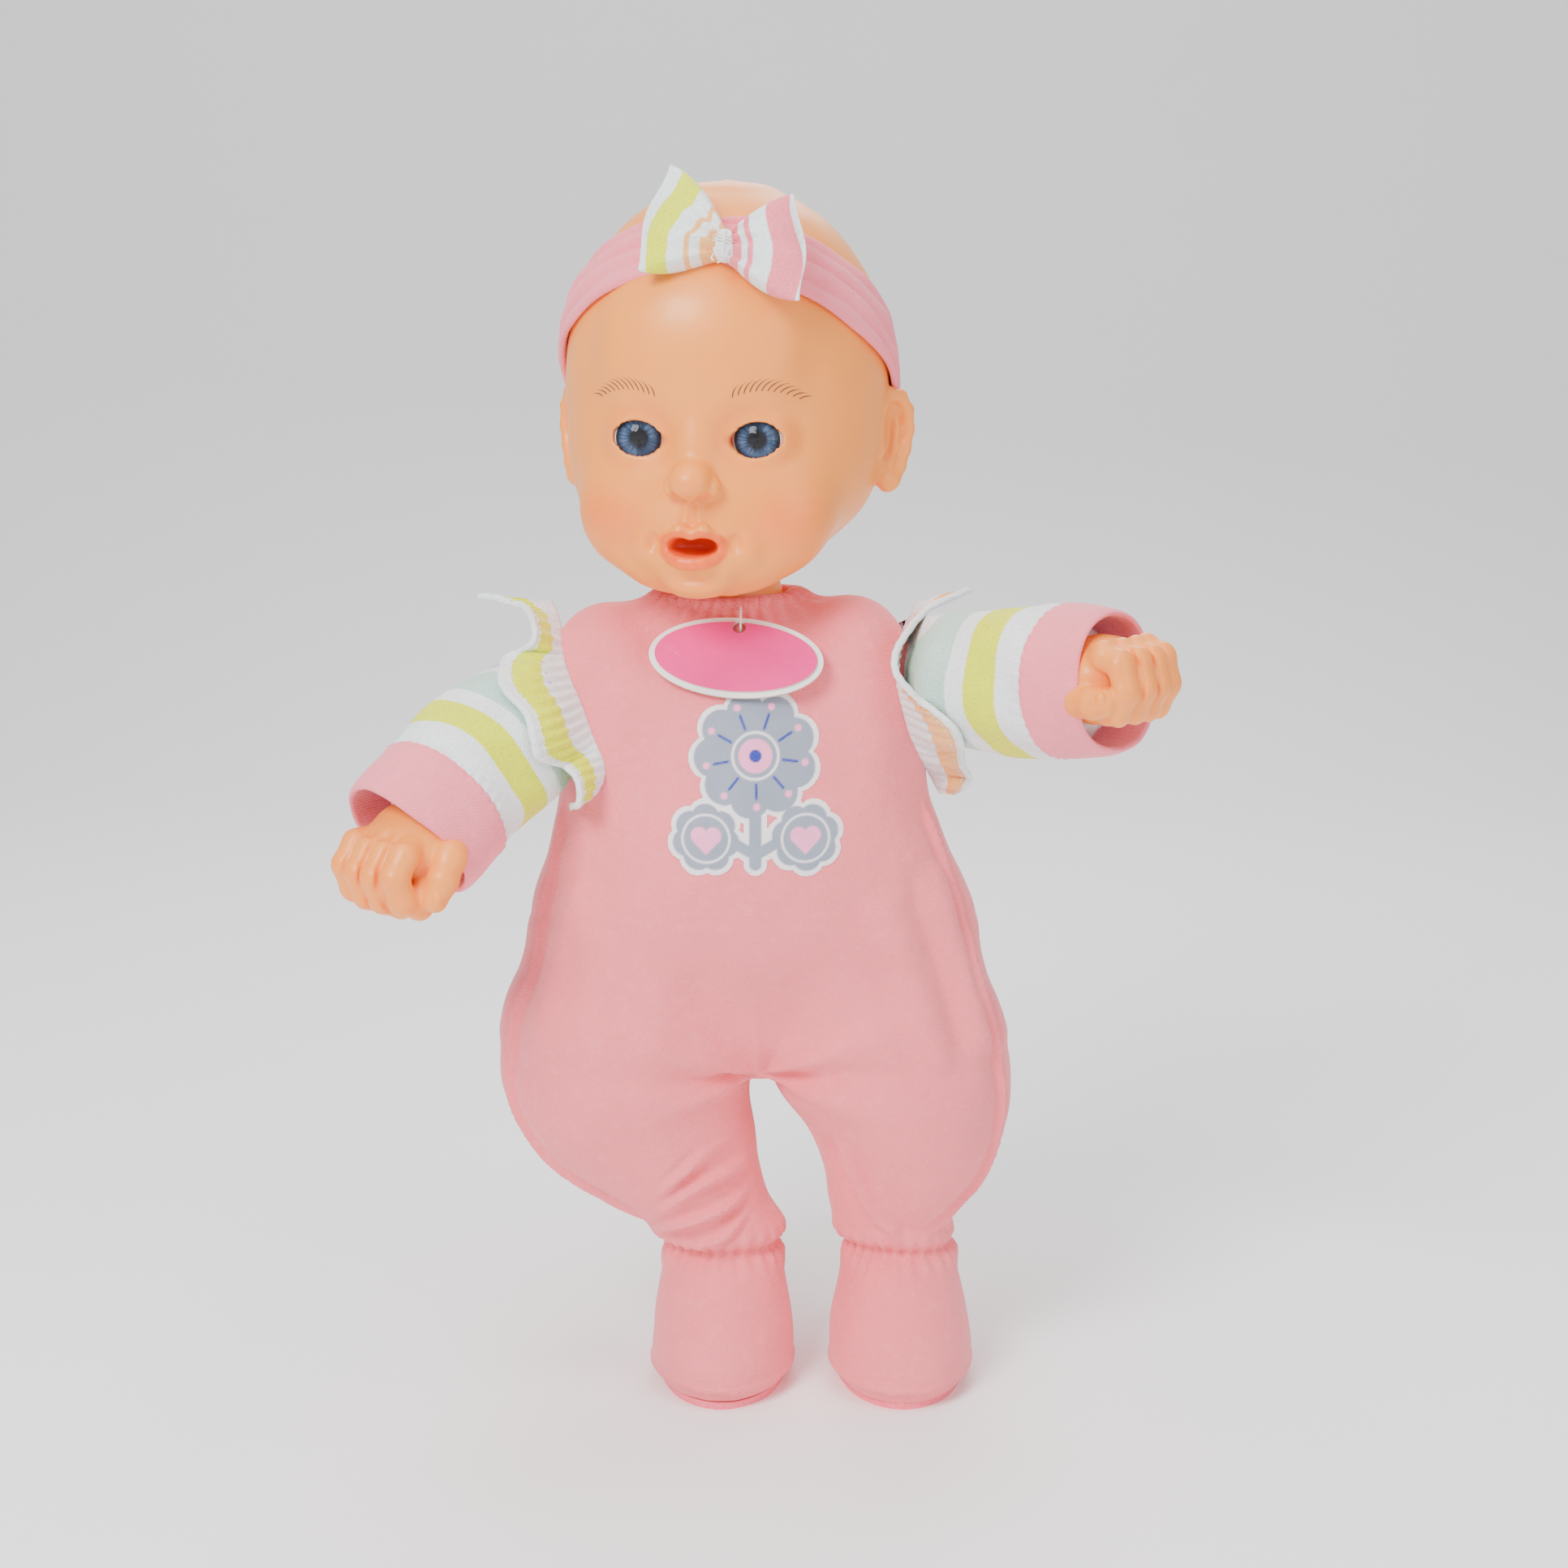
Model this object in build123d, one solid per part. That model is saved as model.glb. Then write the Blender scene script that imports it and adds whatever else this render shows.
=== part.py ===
from build123d import *
import os
from math import cos, pi, sin, sqrt

# A soft-bodied baby doll with a vinyl head and fists, standing on its soles.
# Millimetres, +Z up. The doll faces -Y, and its left side is at +X.
# The origin is on the floor under the middle of the doll's box.

# --- Overall sizes ---
HIP_Z = 98.0               # floor to hip joint
TRUNK_HEIGHT = 131.0       # hip joint to neck joint
TRUNK_HALF_WIDTH = 62.0    # widest place of the belly
TRUNK_HALF_DEPTH = 40.0
TRUNK_LEAN = -9.5          # sideways offset of the neck from the hips
HEAD_HEIGHT = 111.0        # chin to crown
HEAD_HALF_WIDTH = 44.0
HEAD_HALF_DEPTH = 50.0
ARM_REACH = 81.0           # shoulder joint to middle of the fist
BODY_X = 2.7               # these two centre the doll's box over the origin
BODY_Y = 12.9

# --- Cloth and clearances ---
CLOTH = 1.5                # romper cloth with its seam allowance
SEAM_BACK = 3.0            # the side seams run a little behind the trunk's middle
SLEEVE_CLOTH = 1.2
JOINT_GAP = 0.4            # between bodies that move against each other
FIT_GAP = 0.3              # between hard pieces that slide

# --- Joints of the limbs ---
HIP_X = 38.0
THIGH_R = 31.0
SWING_ROOM = 1.5           # the thigh is not quite round
SHOULDER_X = 40.0          # from the neck axis
SHOULDER_DROP = {"right": 18.0, "left": 23.0}
SHOULDER_Y = -6.0
SHOULDER_R = 15.0
STUB_R = 8.0
ARMHOLE_DEPTH = 17.8       # flat bottom of the armhole, inward of the shoulder joint
ARM_TURN = {"right": -48.0, "left": -41.4}   # about Z, from straight sideways to forwards
ARM_RISE = {"right": -34.0, "left": 4.4}     # above the level
ARMHOLE_OPEN_R = 66.0
ARMHOLE_OPEN_X = 12.0

# --- Neck and head ---
NECK_BALL_R = 15.0
NECK_WALL = 3.4
NECK_STEM_R = 12.0
NECK_LIP_R = 14.6
NECK_LIP = 2.6
BINDING_HEIGHT = 2.4
CHIN_LIFT = 3.7            # chin over the neck joint
HEAD_TURN = -6.5           # the face looks a little to the doll's right
HEAD_TILT = 2.2
VINYL = 3.0
COLLAR_LIFT = 9.5
COLLAR_HEIGHT = 13.0
COLLAR_WALL = 4.6

# --- Face ---
EYE_X = 16.0
EYE_SHARE = 0.382          # height of the eyes, as a share of the head
EYE_R = 9.0
EYE_OUT = 1.2              # how far the eyeball's front stands in front of its socket rim
EYE_OPEN_WIDTH = 15.0
EYE_OPEN_HEIGHT = 11.6
IRIS_R = 6.2
IRIS_THICK = 0.8
CORNEA_DOME = 0.9
NOSE_R = 7.0
MOUTH_WIDTH = 14.0
MOUTH_HEIGHT = 5.5
MOUTH_DEPTH = 3.6
EAR_WIDTH = 5.0
EAR_HEIGHT = 28.0
EAR_SHAPE = (EAR_WIDTH / EAR_HEIGHT, 0.6, 1)
EAR_TURN = 20.0
EAR_BACK = 4.0
EAR_DROP = 4.0             # middle of the ear, the nose and the mouth under the eyes
NOSE_DROP = 11.0
MOUTH_DROP = 27.0
NOSE_SHAPE = (1.15, 1, 0.9)
NOSE_OUT = 0.94            # places on the face, as shares of the head's half depth
MOUTH_OUT = 0.955
LIPS_OUT = 0.90
EYES_OUT = 0.885
LIPS_MARGIN = 2.0
LIPS_SHAPE = (1, 0.6, 0.7)

# --- Headband and bow ---
BAND = 1.4
BAND_WIDTH = 21.0
BAND_TILT = 36.0
BAND_SHARE = 0.60          # height of the band's middle over the neck axis
BOW_WIDTH = 44.0
BOW_HEIGHT = 27.0
BOW_THICK = 10.0
BOW_WRAP_WIDTH = 8.0
BOW_WRAP_ROUND = 2.5
BOW_WRAP_SHARE = 0.28      # half height of the wrap, as a share of the bow's
BOW_SHARE = 0.845          # height of the bow on the head
BOW_X = 3.5
BOW_OUT = 0.88
BOW_LEAN = -34.0
BOW_ROLL = 16.0

# --- Sleeves, cuffs and ruffles, along the arm from the shoulder joint ---
SLEEVE_START = 4.0
SLEEVE_END = 46.0
SLEEVE_ROOT_R = 17.0
SLEEVE_END_R = 21.5
CUFF_LENGTH = 17.0
CUFF_WALL = 1.8
RUFFLE_AT = 8.0
RUFFLE_REACH = 5.6
RUFFLE_CLOTH = 1.6
WRIST_R = 11.0
WRIST_FLANGE_R = 13.5
WRIST_FLANGE = 3.0
WRIST_TIE = 2.5
WRIST_FILLING = 14.0       # the stuffing ends this far inside the cuff
FILLING_START = 10.0
FIST_WIDTH = 37.0
FIST_DEPTH = 33.0
PALM_SHAPE = (0.80, 0.92, FIST_DEPTH / FIST_WIDTH)
FINGER_R = FIST_WIDTH / 8.6
FINGER_PITCH = 1.72 * FINGER_R
FINGER_LENGTH = FIST_WIDTH * 0.42
FINGERS_OUT = FIST_DEPTH * 0.34
THUMB_R = 1.1 * FINGER_R
THUMB_LENGTH = 14.0
THUMB_TURN = 20.0
THUMB_SIDE = FIST_WIDTH * 0.40

# --- Legs ---
ANKLE_Z = 38.0
ANKLE_R = 15.5
ANKLE_SHIFT = {"right": 26.0, "left": 2.0}   # sideways, towards +X
FOOT_HALF_WIDTH = 20.5
TOE_REACH = 37.0
HEEL_REACH = 25.0
SOLE = 2.0
ELASTIC = 1.5
ELASTIC_WIDTH = 3.0

# --- Sound module ---
CASE_RISE = 52.0           # over the hip joint
CASE_R = 26.0
CASE_DEPTH = 24.0
CASE_WALL = 1.8
CASE_BACK_Y = 22.0         # back face of the module, behind the trunk's middle
BACK_WAY_MARGIN = 10.0     # the way in from the back is wider than its closure
CELL_R = 5.8
CELL_HEIGHT = 5.4
CONTACT = 0.4
BOARD = 1.2
BOARD_R = 17.0
SWITCH_SIDE = 6.0
SWITCH_BODY = 3.5
SWITCH_STEM = 1.3
SWITCH_STEM_R = 1.7
BUTTON_R = 7.5
BUTTON_FLANGE = 1.0
BUTTON_FLANGE_THICK = 1.5
BUTTON_PROUD = 3.0
BUTTON_TRAVEL = 2.5
BUTTON_DROP = 13.5
BUTTON_ROOM = 1.0          # in the stuffing round the button
BUTTON_CHAMFER = 0.8
BUTTON_STEM_R = 1.8
SPEAKER_R = 12.0
SPEAKER_DEPTH = 8.0
SPEAKER_RISE = 9.0
SPEAKER_NECK = 0.55        # share of its radius where the magnet is fixed
PAPER = 1.2
GRILLE_R = 5.5
GRILLE_HOLE_R = 1.2
SCREW_R = 1.1
SCREW_HEAD_R = 2.2
SCREW_HEAD = 1.2
SCREW_SLOT = 0.6           # width and depth of the cross in the head
CASE_SCREW_LENGTH = 9.0
DOOR_SCREW_LENGTH = 4.0
DOOR_MARGIN = 2.6          # round the cells
DOOR_SCREW_INSET = 3.6
BOSS_R = 3.0
BOSS_ANGLES = (20, 160, 200, 340)
REST_R = 1.5               # posts that hold the board off the tray
REST_SHARE = 0.68
REST_HEIGHT = 1.0
CHIP_SIDE = 6.0
CHIP_THICK = 1.2
CHIP_X = -9.0
CHIP_Y = -3.0
SPRING_WIRE_R = 0.35
SPRING_TURNS = 3
SPRING_SEAT = 0.5          # room at each end of the spring
CELL_GAP = 0.4
CONTACT_INSET = 2.0

# --- Back closure and hang tag ---
CLOSURE_HEIGHT = 46.0
CLOSURE_WIDTH = 14.0
STRIP = 1.2
TAG_WIDTH = 48.0
TAG_HEIGHT = 24.0
TAG_CARD = 0.7
TAG_MARGIN = 1.6
TAG_LEAN = 32.0
TAG_ROLL = -9.0
TAG_X = 3.5
TAG_SWING = 36.0
TAG_LOOP_R = 3.4
TAG_WIRE_R = 0.35
TAG_HOLE_R = 1.8
TAG_HOLE_DROP = 3.1

OUTLINE_POINTS = 12
FAR = 400.0                # larger than the doll
LEVELS = (84, 72, 55, 36, 18)                # degrees, the thigh's dome over the hip joint
HEM_SHARE = 0.55           # the leg's cloth ends this far up the dome
SWING_FRONT = -96
SWING_BACK = 26
NECK_TIE_DROP = 7.0
NECK_TIE_HEIGHT = 3.0
SIDES = {"right": -1, "left": 1}

NECK_X = BODY_X + TRUNK_LEAN
NECK = Vector(NECK_X, BODY_Y, HIP_Z + TRUNK_HEIGHT)

# Trunk outlines: share of the height, of the half width and of the half depth, forward shift
TRUNK_ROWS = [
    (-0.046, 0.30, 0.38, 0.0),
    (0.061, 0.58, 0.60, -0.04),
    (0.168, 0.87, 0.80, -0.04),
    (0.275, 1.00, 0.96, 0.00),
    (0.443, 0.90, 1.00, 0.04),
    (0.656, 0.76, 0.91, 0.05),
    (0.840, 0.60, 0.74, 0.03),
    (0.935, 0.41, 0.56, 0.01),
]

# Head outlines: share of the height, half width, front and back reach
HEAD_ROWS = [
    (0.000, 0.24, 0.76, -0.50),
    (0.045, 0.55, 0.86, 0.06),
    (0.110, 0.76, 0.93, 0.45),
    (0.200, 0.94, 0.98, 0.80),
    (0.300, 1.00, 0.99, 0.97),
    (0.420, 0.99, 0.96, 1.06),
    (0.560, 0.98, 0.98, 1.10),
    (0.700, 0.93, 0.94, 1.05),
    (0.820, 0.79, 0.79, 0.90),
    (0.910, 0.60, 0.59, 0.68),
    (0.965, 0.38, 0.37, 0.43),
    (0.998, 0.12, 0.12, 0.14),
]

# Leg outlines: share of the way from hip to ankle, radius share, share of the sideways shift
LEG_ROWS = [
    (0.00, 1.00, 0.00),
    (0.28, 1.02, 0.02),
    (0.55, 0.90, 0.26),
    (0.76, 0.71, 0.68),
]

# Bow loop outlines: share of the loop's length, of its height and of its thickness
BOW_ROWS = [
    (0.00, 0.42, 0.72),
    (0.35, 0.78, 1.00),
    (0.70, 1.00, 0.95),
    (0.92, 0.92, 0.66),
    (1.00, 0.80, 0.40),
]


def outline(z, half_width, front, back, x=0.0, y=0.0):
    """A smooth closed outline in a level plane. The front reaches towards -Y."""
    points = []
    for i in range(OUTLINE_POINTS):
        turn = 2 * pi * i / OUTLINE_POINTS
        depth = back if sin(turn) > 0 else front
        points.append((x + half_width * cos(turn), y + depth * sin(turn), z))
    return make_face(Spline(*points, periodic=True))


def offset_outline(z, half_width, low_y, high_y, x=0.0):
    """An ellipse-like outline between two depths, for rows whose middle is off the axis."""
    half = (high_y - low_y) / 2
    return outline(z, half_width, half, half, x, (high_y + low_y) / 2)


def tube(outer, inner, height):
    return extrude(Circle(outer) - Circle(inner), height)


def write(shape, name):
    shape.label = name
    export_step(shape, "parts/" + name + ".step")


# --- Trunk ---

def trunk_body(grow):
    """The stuffed trunk, larger by `grow` all round, with a level neck end."""
    rows = []
    for height, width, depth, forward in TRUNK_ROWS:
        z = HIP_Z + TRUNK_HEIGHT * height - (grow if height < 0 else 0)
        x = BODY_X + TRUNK_LEAN * max(height, 0)
        y = BODY_Y - forward * TRUNK_HALF_DEPTH
        half_width = TRUNK_HALF_WIDTH * width + grow
        half_depth = TRUNK_HALF_DEPTH * depth + grow
        rows.append(outline(z, half_width, half_depth, half_depth, x, y))
    neck_r = NECK_BALL_R + NECK_WALL + grow
    rows.append(outline(NECK.Z, neck_r, neck_r, neck_r, NECK.X, NECK.Y))
    return loft(rows)


def hip(side):
    return Vector(BODY_X + SIDES[side] * HIP_X, BODY_Y, HIP_Z)


def shoulder(side):
    x = NECK.X + SIDES[side] * SHOULDER_X
    return Vector(x, BODY_Y + SHOULDER_Y, NECK.Z - SHOULDER_DROP[side])


def hip_room(side):
    """The space a thigh needs between its furthest swings forwards and back."""
    radius = THIGH_R * 1.02 + CLOTH + JOINT_GAP + SWING_ROOM
    room = Sphere(radius)
    for swing in (SWING_FRONT, SWING_BACK):
        room += Rot(swing, 0, 0) * Pos(0, 0, -HIP_Z / 2) * Cylinder(radius, HIP_Z)
    return Pos(hip(side)) * room


def armhole_room(side):
    """The funnel, round the shoulder's swing axis, that the arm moves in."""
    rise = ARMHOLE_DEPTH + 2.2
    profile = Polyline(
        (-ARMHOLE_DEPTH, 0),
        (-ARMHOLE_DEPTH, rise),
        (ARMHOLE_OPEN_X, ARMHOLE_OPEN_R),
        (ARM_REACH, ARMHOLE_OPEN_R),
        (ARM_REACH, 0),
        close=True,
    )
    funnel = revolve(make_face(profile), Axis.X)
    if side == "right":
        funnel = mirror(funnel, Plane.YZ)
    return Pos(shoulder(side)) * funnel


def limb_room():
    room = hip_room("right") + hip_room("left")
    return room + armhole_room("right") + armhole_room("left")


def module_place():
    """The sound module's frame: its own +Z is the doll's front, its +Y is up."""
    share = CASE_RISE / TRUNK_HEIGHT
    origin = (BODY_X + TRUNK_LEAN * share, BODY_Y + CASE_BACK_Y, HIP_Z + CASE_RISE)
    return Location(Plane(origin=origin, x_dir=(1, 0, 0), z_dir=(0, -1, 0)))


def module_room():
    """Pocket for the module, room over its button, and the way in from the back."""
    place = module_place()
    pocket = extrude(Circle(CASE_R + FIT_GAP), CASE_DEPTH + FIT_GAP)
    button_room = extrude(Circle(BUTTON_R + BUTTON_ROOM), BUTTON_PROUD + BUTTON_ROOM)
    button = Pos(0, -BUTTON_DROP, CASE_DEPTH) * button_room
    way = Rectangle(CLOSURE_WIDTH + BACK_WAY_MARGIN, CLOSURE_HEIGHT)
    back_way = extrude(way, -TRUNK_HALF_DEPTH)
    return place * (pocket + button + back_way)


def neck_tie():
    ring = tube(NECK_BALL_R + NECK_WALL - 0.2, NECK_BALL_R + 1.2, NECK_TIE_HEIGHT)
    return Pos(NECK.X, NECK.Y, NECK.Z - NECK_TIE_DROP) * ring


def neck_binding():
    ring = tube(NECK_BALL_R + NECK_WALL + 2 * CLOTH, NECK_BALL_R + 0.6, BINDING_HEIGHT)
    return Pos(NECK) * ring


def make_torso(room):
    stuffing = trunk_body(0)
    ball = Pos(NECK) * Sphere(NECK_BALL_R + JOINT_GAP)
    tie = neck_tie()
    skin = trunk_body(CLOTH) - room - ball
    write(stuffing - room - ball - module_room() - tie, "torso_filling")
    half = Box(FAR, FAR, FAR, align=(Align.CENTER, Align.MAX, Align.CENTER))
    front_half = Pos(0, BODY_Y + SEAM_BACK, HIP_Z) * half
    write((skin & front_half) - stuffing, "romper_front")
    slot = module_place() * extrude(Rectangle(STRIP * 2, CLOSURE_HEIGHT), -TRUNK_HALF_DEPTH)
    write((skin - front_half) - stuffing - slot, "romper_back")
    write(tie, "neck_tie")
    write(neck_binding(), "neck_binding")


def make_closure():
    """Two strips laid face to face behind the module, under the back opening."""
    place = module_place()
    strip = extrude(Rectangle(CLOSURE_WIDTH, CLOSURE_HEIGHT - 4), STRIP)
    depth = CASE_BACK_Y - TRUNK_HALF_DEPTH * 0.87
    write(place * Pos(0, 0, depth + STRIP) * strip, "hook_strip")
    write(place * Pos(0, 0, depth) * strip, "loop_strip")


# --- Sound module, built along its own +Z from the back ---

def screw(length):
    cross = 1.2 * SCREW_HEAD_R
    head = extrude(Circle(SCREW_HEAD_R), SCREW_HEAD)
    head -= extrude(Rectangle(cross, SCREW_SLOT), SCREW_SLOT)
    head -= extrude(Rectangle(SCREW_SLOT, cross), SCREW_SLOT)
    return head + Pos(0, 0, SCREW_HEAD) * extrude(Circle(SCREW_R), length)


def ring_spots(reach, angles):
    """Places on a circle, at these angles in degrees."""
    turns = [angle * pi / 180 for angle in angles]
    return [Location((reach * cos(turn), reach * sin(turn), 0)) for turn in turns]


def cell_ring_r():
    """Three cells lie in a ring with a small gap between neighbours."""
    return (CELL_R + CELL_GAP) / cos(pi / 6)


def boss_spots():
    return ring_spots(CASE_R - CASE_WALL - BOSS_R - FIT_GAP, BOSS_ANGLES)


def cell_spots():
    return ring_spots(cell_ring_r(), (90, 210, 330))


def door_r():
    return cell_ring_r() + CELL_R + DOOR_MARGIN


def door_screw_spot():
    return Pos(0, -(door_r() - DOOR_SCREW_INSET), 0)


def tray_depth():
    return CASE_WALL + CELL_HEIGHT + CONTACT


def board_top():
    return tray_depth() + CASE_WALL + REST_HEIGHT + BOARD


def case_inside():
    return CASE_DEPTH - CASE_WALL


def flange_at():
    """Back of the button's flange, which rests behind the case's front wall."""
    return case_inside() - FIT_GAP - BUTTON_FLANGE_THICK


def make_case_back(place):
    """The back plate, with the battery tray standing on its inside."""
    screw_hole = Circle(SCREW_R)
    tray_r = door_r() + 0.2
    back = extrude(Circle(CASE_R), CASE_WALL)
    back += extrude(Circle(tray_r + CASE_WALL), tray_depth() + CASE_WALL)
    back -= extrude(Circle(tray_r), tray_depth())
    post = Pos(0, 0, CASE_WALL) * extrude(Circle(BOSS_R), CELL_HEIGHT + CONTACT)
    back += door_screw_spot() * post
    back -= door_screw_spot() * extrude(screw_hole, tray_depth())
    for spot in boss_spots():
        back -= spot * extrude(Circle(SCREW_HEAD_R), SCREW_HEAD)
        back -= spot * extrude(screw_hole, CASE_WALL)
        near = Pos(spot.position.X * REST_SHARE, spot.position.Y * REST_SHARE, 0)
        rest = Pos(0, 0, tray_depth() + CASE_WALL) * extrude(Circle(REST_R), REST_HEIGHT)
        back += near * rest
    write(place * back, "sound_case_back")


def make_case_front(place):
    """The cup with screw bosses, a grille over the speaker and a hole for the button."""
    wall_at = case_inside()
    shell = Pos(0, 0, CASE_WALL) * extrude(Circle(CASE_R), wall_at)
    shell -= Pos(0, 0, CASE_WALL) * extrude(Circle(CASE_R - CASE_WALL), wall_at - CASE_WALL)
    boss = extrude(Circle(BOSS_R) - Circle(SCREW_R), wall_at - CASE_WALL)
    for spot in boss_spots():
        shell += spot * Pos(0, 0, CASE_WALL) * boss
    shell -= Pos(0, -BUTTON_DROP, wall_at) * extrude(Circle(BUTTON_R + FIT_GAP), CASE_WALL)
    grille = PolarLocations(GRILLE_R, 6).locations + [Location((0, 0, 0))]
    for spot in grille:
        hole = extrude(Circle(GRILLE_HOLE_R), CASE_WALL)
        shell -= Pos(0, SPEAKER_RISE, wall_at) * spot * hole
    write(place * shell, "sound_case_front")


def make_battery(place):
    door = extrude(Circle(door_r()), CASE_WALL)
    door -= door_screw_spot() * extrude(Circle(SCREW_R), CASE_WALL)
    door -= door_screw_spot() * extrude(Circle(SCREW_HEAD_R), SCREW_HEAD)
    write(place * door, "battery_door")
    write(place * door_screw_spot() * screw(DOOR_SCREW_LENGTH), "battery_door_screw")
    screws = [spot * screw(CASE_SCREW_LENGTH) for spot in boss_spots()]
    write(place * Compound(children=screws), "case_screws")
    cell = Pos(0, 0, CASE_WALL) * extrude(Circle(CELL_R), CELL_HEIGHT)
    cells = [spot * cell for spot in cell_spots()]
    write(place * Compound(children=cells), "button_cells")
    contact = extrude(Circle(CELL_R - CONTACT_INSET), CONTACT)
    contacts = [spot * Pos(0, 0, CASE_WALL + CELL_HEIGHT) * contact for spot in cell_spots()]
    write(place * Compound(children=contacts), "battery_contacts")


def make_board(place):
    """The circuit board, notched round the bosses, with its chip and its switch."""
    board = extrude(Circle(BOARD_R), BOARD)
    for spot in boss_spots():
        board -= spot * extrude(Circle(BOSS_R + FIT_GAP), BOARD)
    write(place * Pos(0, 0, board_top() - BOARD) * board, "circuit_board")
    chip = extrude(Rectangle(CHIP_SIDE, CHIP_SIDE), CHIP_THICK)
    write(place * Pos(CHIP_X, CHIP_Y, board_top()) * chip, "sound_chip")
    switch = extrude(Rectangle(SWITCH_SIDE, SWITCH_SIDE), SWITCH_BODY)
    switch += Pos(0, 0, SWITCH_BODY) * extrude(Circle(SWITCH_STEM_R), SWITCH_STEM)
    write(place * Pos(0, -BUTTON_DROP, board_top()) * switch, "tact_switch")


def make_button(place):
    """The press button, its flange and its stem, and the spring round the switch."""
    stem_end = board_top() + SWITCH_BODY + SWITCH_STEM + BUTTON_TRAVEL + 0.1
    cap = extrude(Circle(BUTTON_R), CASE_DEPTH + BUTTON_PROUD - flange_at())
    cap = chamfer(cap.faces().sort_by(Axis.Z)[-1].edges(), BUTTON_CHAMFER)
    cap += extrude(Circle(BUTTON_R + BUTTON_FLANGE), BUTTON_FLANGE_THICK)
    cap = Pos(0, 0, flange_at()) * cap
    cap += Pos(0, 0, stem_end) * extrude(Circle(BUTTON_STEM_R), flange_at() - stem_end)
    write(place * Pos(0, -BUTTON_DROP, 0) * cap, "press_button")

    spring_r = SWITCH_SIDE * sqrt(2) / 2 + 1.3
    spring_height = flange_at() - BUTTON_TRAVEL - board_top() - 2 * SPRING_SEAT
    coil = Helix(pitch=spring_height / SPRING_TURNS, height=spring_height, radius=spring_r)
    wire = sweep((coil ^ 0) * Circle(SPRING_WIRE_R), path=coil)
    write(place * Pos(0, -BUTTON_DROP, board_top() + SPRING_SEAT) * wire, "button_spring")


def make_speaker(place):
    low = (Align.CENTER, Align.CENTER, Align.MIN)
    magnet_r = SPEAKER_R * SPEAKER_NECK
    magnet_height = case_inside() - SPEAKER_DEPTH - board_top() - 0.4
    basket = Cone(magnet_r, SPEAKER_R, SPEAKER_DEPTH, align=low)
    hollow = Cone(magnet_r * 0.9, SPEAKER_R - 1, SPEAKER_DEPTH - 1, align=low)
    hollow = Pos(0, 0, 1) * hollow
    write(place * (basket - hollow), "speaker_basket")
    write(place * (hollow - Pos(0, 0, PAPER) * hollow), "speaker_cone")
    write(place * extrude(Circle(magnet_r), -magnet_height), "speaker_magnet")


def make_module():
    place = module_place()
    make_case_back(place)
    make_case_front(place)
    make_battery(place)
    make_board(place)
    make_button(place)
    make_speaker(place * Pos(0, SPEAKER_RISE, case_inside() - SPEAKER_DEPTH))


# --- Neck and head ---

def head_place():
    return Pos(NECK) * Rot(0, HEAD_TILT, 0) * Rot(0, 0, HEAD_TURN)


def head_body(grow):
    rows = []
    for height, width, front, back in HEAD_ROWS:
        z = CHIN_LIFT + HEAD_HEIGHT * height
        if height == 0:
            z -= grow
        if height == HEAD_ROWS[-1][0]:
            z += grow
        half_width = HEAD_HALF_WIDTH * width + grow
        low = -HEAD_HALF_DEPTH * front - grow
        high = HEAD_HALF_DEPTH * back + grow
        rows.append(offset_outline(z, half_width, low, high))
    return loft(rows)


def eye_z():
    return CHIN_LIFT + HEAD_HEIGHT * EYE_SHARE


def eye_centre(sign):
    return Pos(sign * EYE_X, -HEAD_HALF_DEPTH * EYES_OUT + EYE_R - EYE_OUT, eye_z())


def make_neck():
    stem_top = COLLAR_LIFT + COLLAR_HEIGHT + JOINT_GAP
    plug = Sphere(NECK_BALL_R) + Cylinder(NECK_STEM_R, stem_top, align=(Align.CENTER, Align.CENTER, Align.MIN))
    lip = Cylinder(NECK_LIP_R, NECK_LIP, align=(Align.CENTER, Align.CENTER, Align.MIN))
    plug += Pos(0, 0, stem_top) * lip
    write(head_place() * plug, "neck_plug")


def ear_place(sign):
    return Pos(sign * (HEAD_HALF_WIDTH + 0.5), EAR_BACK, eye_z() - EAR_DROP)


def neck_room_r():
    """The chin clears the neck binding when the head nods and turns."""
    binding_r = NECK_BALL_R + NECK_WALL + 2 * CLOTH
    return sqrt(binding_r ** 2 + BINDING_HEIGHT ** 2) + 1.0


def head_features():
    """Ears, nose and the pad of the lips, as one shape to add to the head."""
    nose = scale(Sphere(NOSE_R), by=NOSE_SHAPE)
    features = Pos(0, -HEAD_HALF_DEPTH * NOSE_OUT, eye_z() - NOSE_DROP) * nose
    for sign in SIDES.values():
        ear = scale(Sphere(EAR_HEIGHT / 2), by=EAR_SHAPE)
        features += ear_place(sign) * Rot(0, 0, sign * -EAR_TURN) * ear
    return features


def mouth_room():
    half = MOUTH_WIDTH / 2
    shape = scale(Sphere(half), by=(1, MOUTH_DEPTH / half, MOUTH_HEIGHT / MOUTH_WIDTH))
    return Pos(0, -HEAD_HALF_DEPTH * MOUTH_OUT, eye_z() - MOUTH_DROP) * shape


def eye_rooms():
    """Sockets for the eyeballs and their lenses, and the openings between the lids."""
    almond = extrude(Ellipse(EYE_OPEN_WIDTH / 2, EYE_OPEN_HEIGHT / 2), 2 * EYE_R)
    room = Sphere(EYE_R) + Pos(0, -CORNEA_DOME, 0) * Sphere(EYE_R) + Rot(90, 0, 0) * almond
    return [eye_centre(sign) * room for sign in SIDES.values()]


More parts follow.
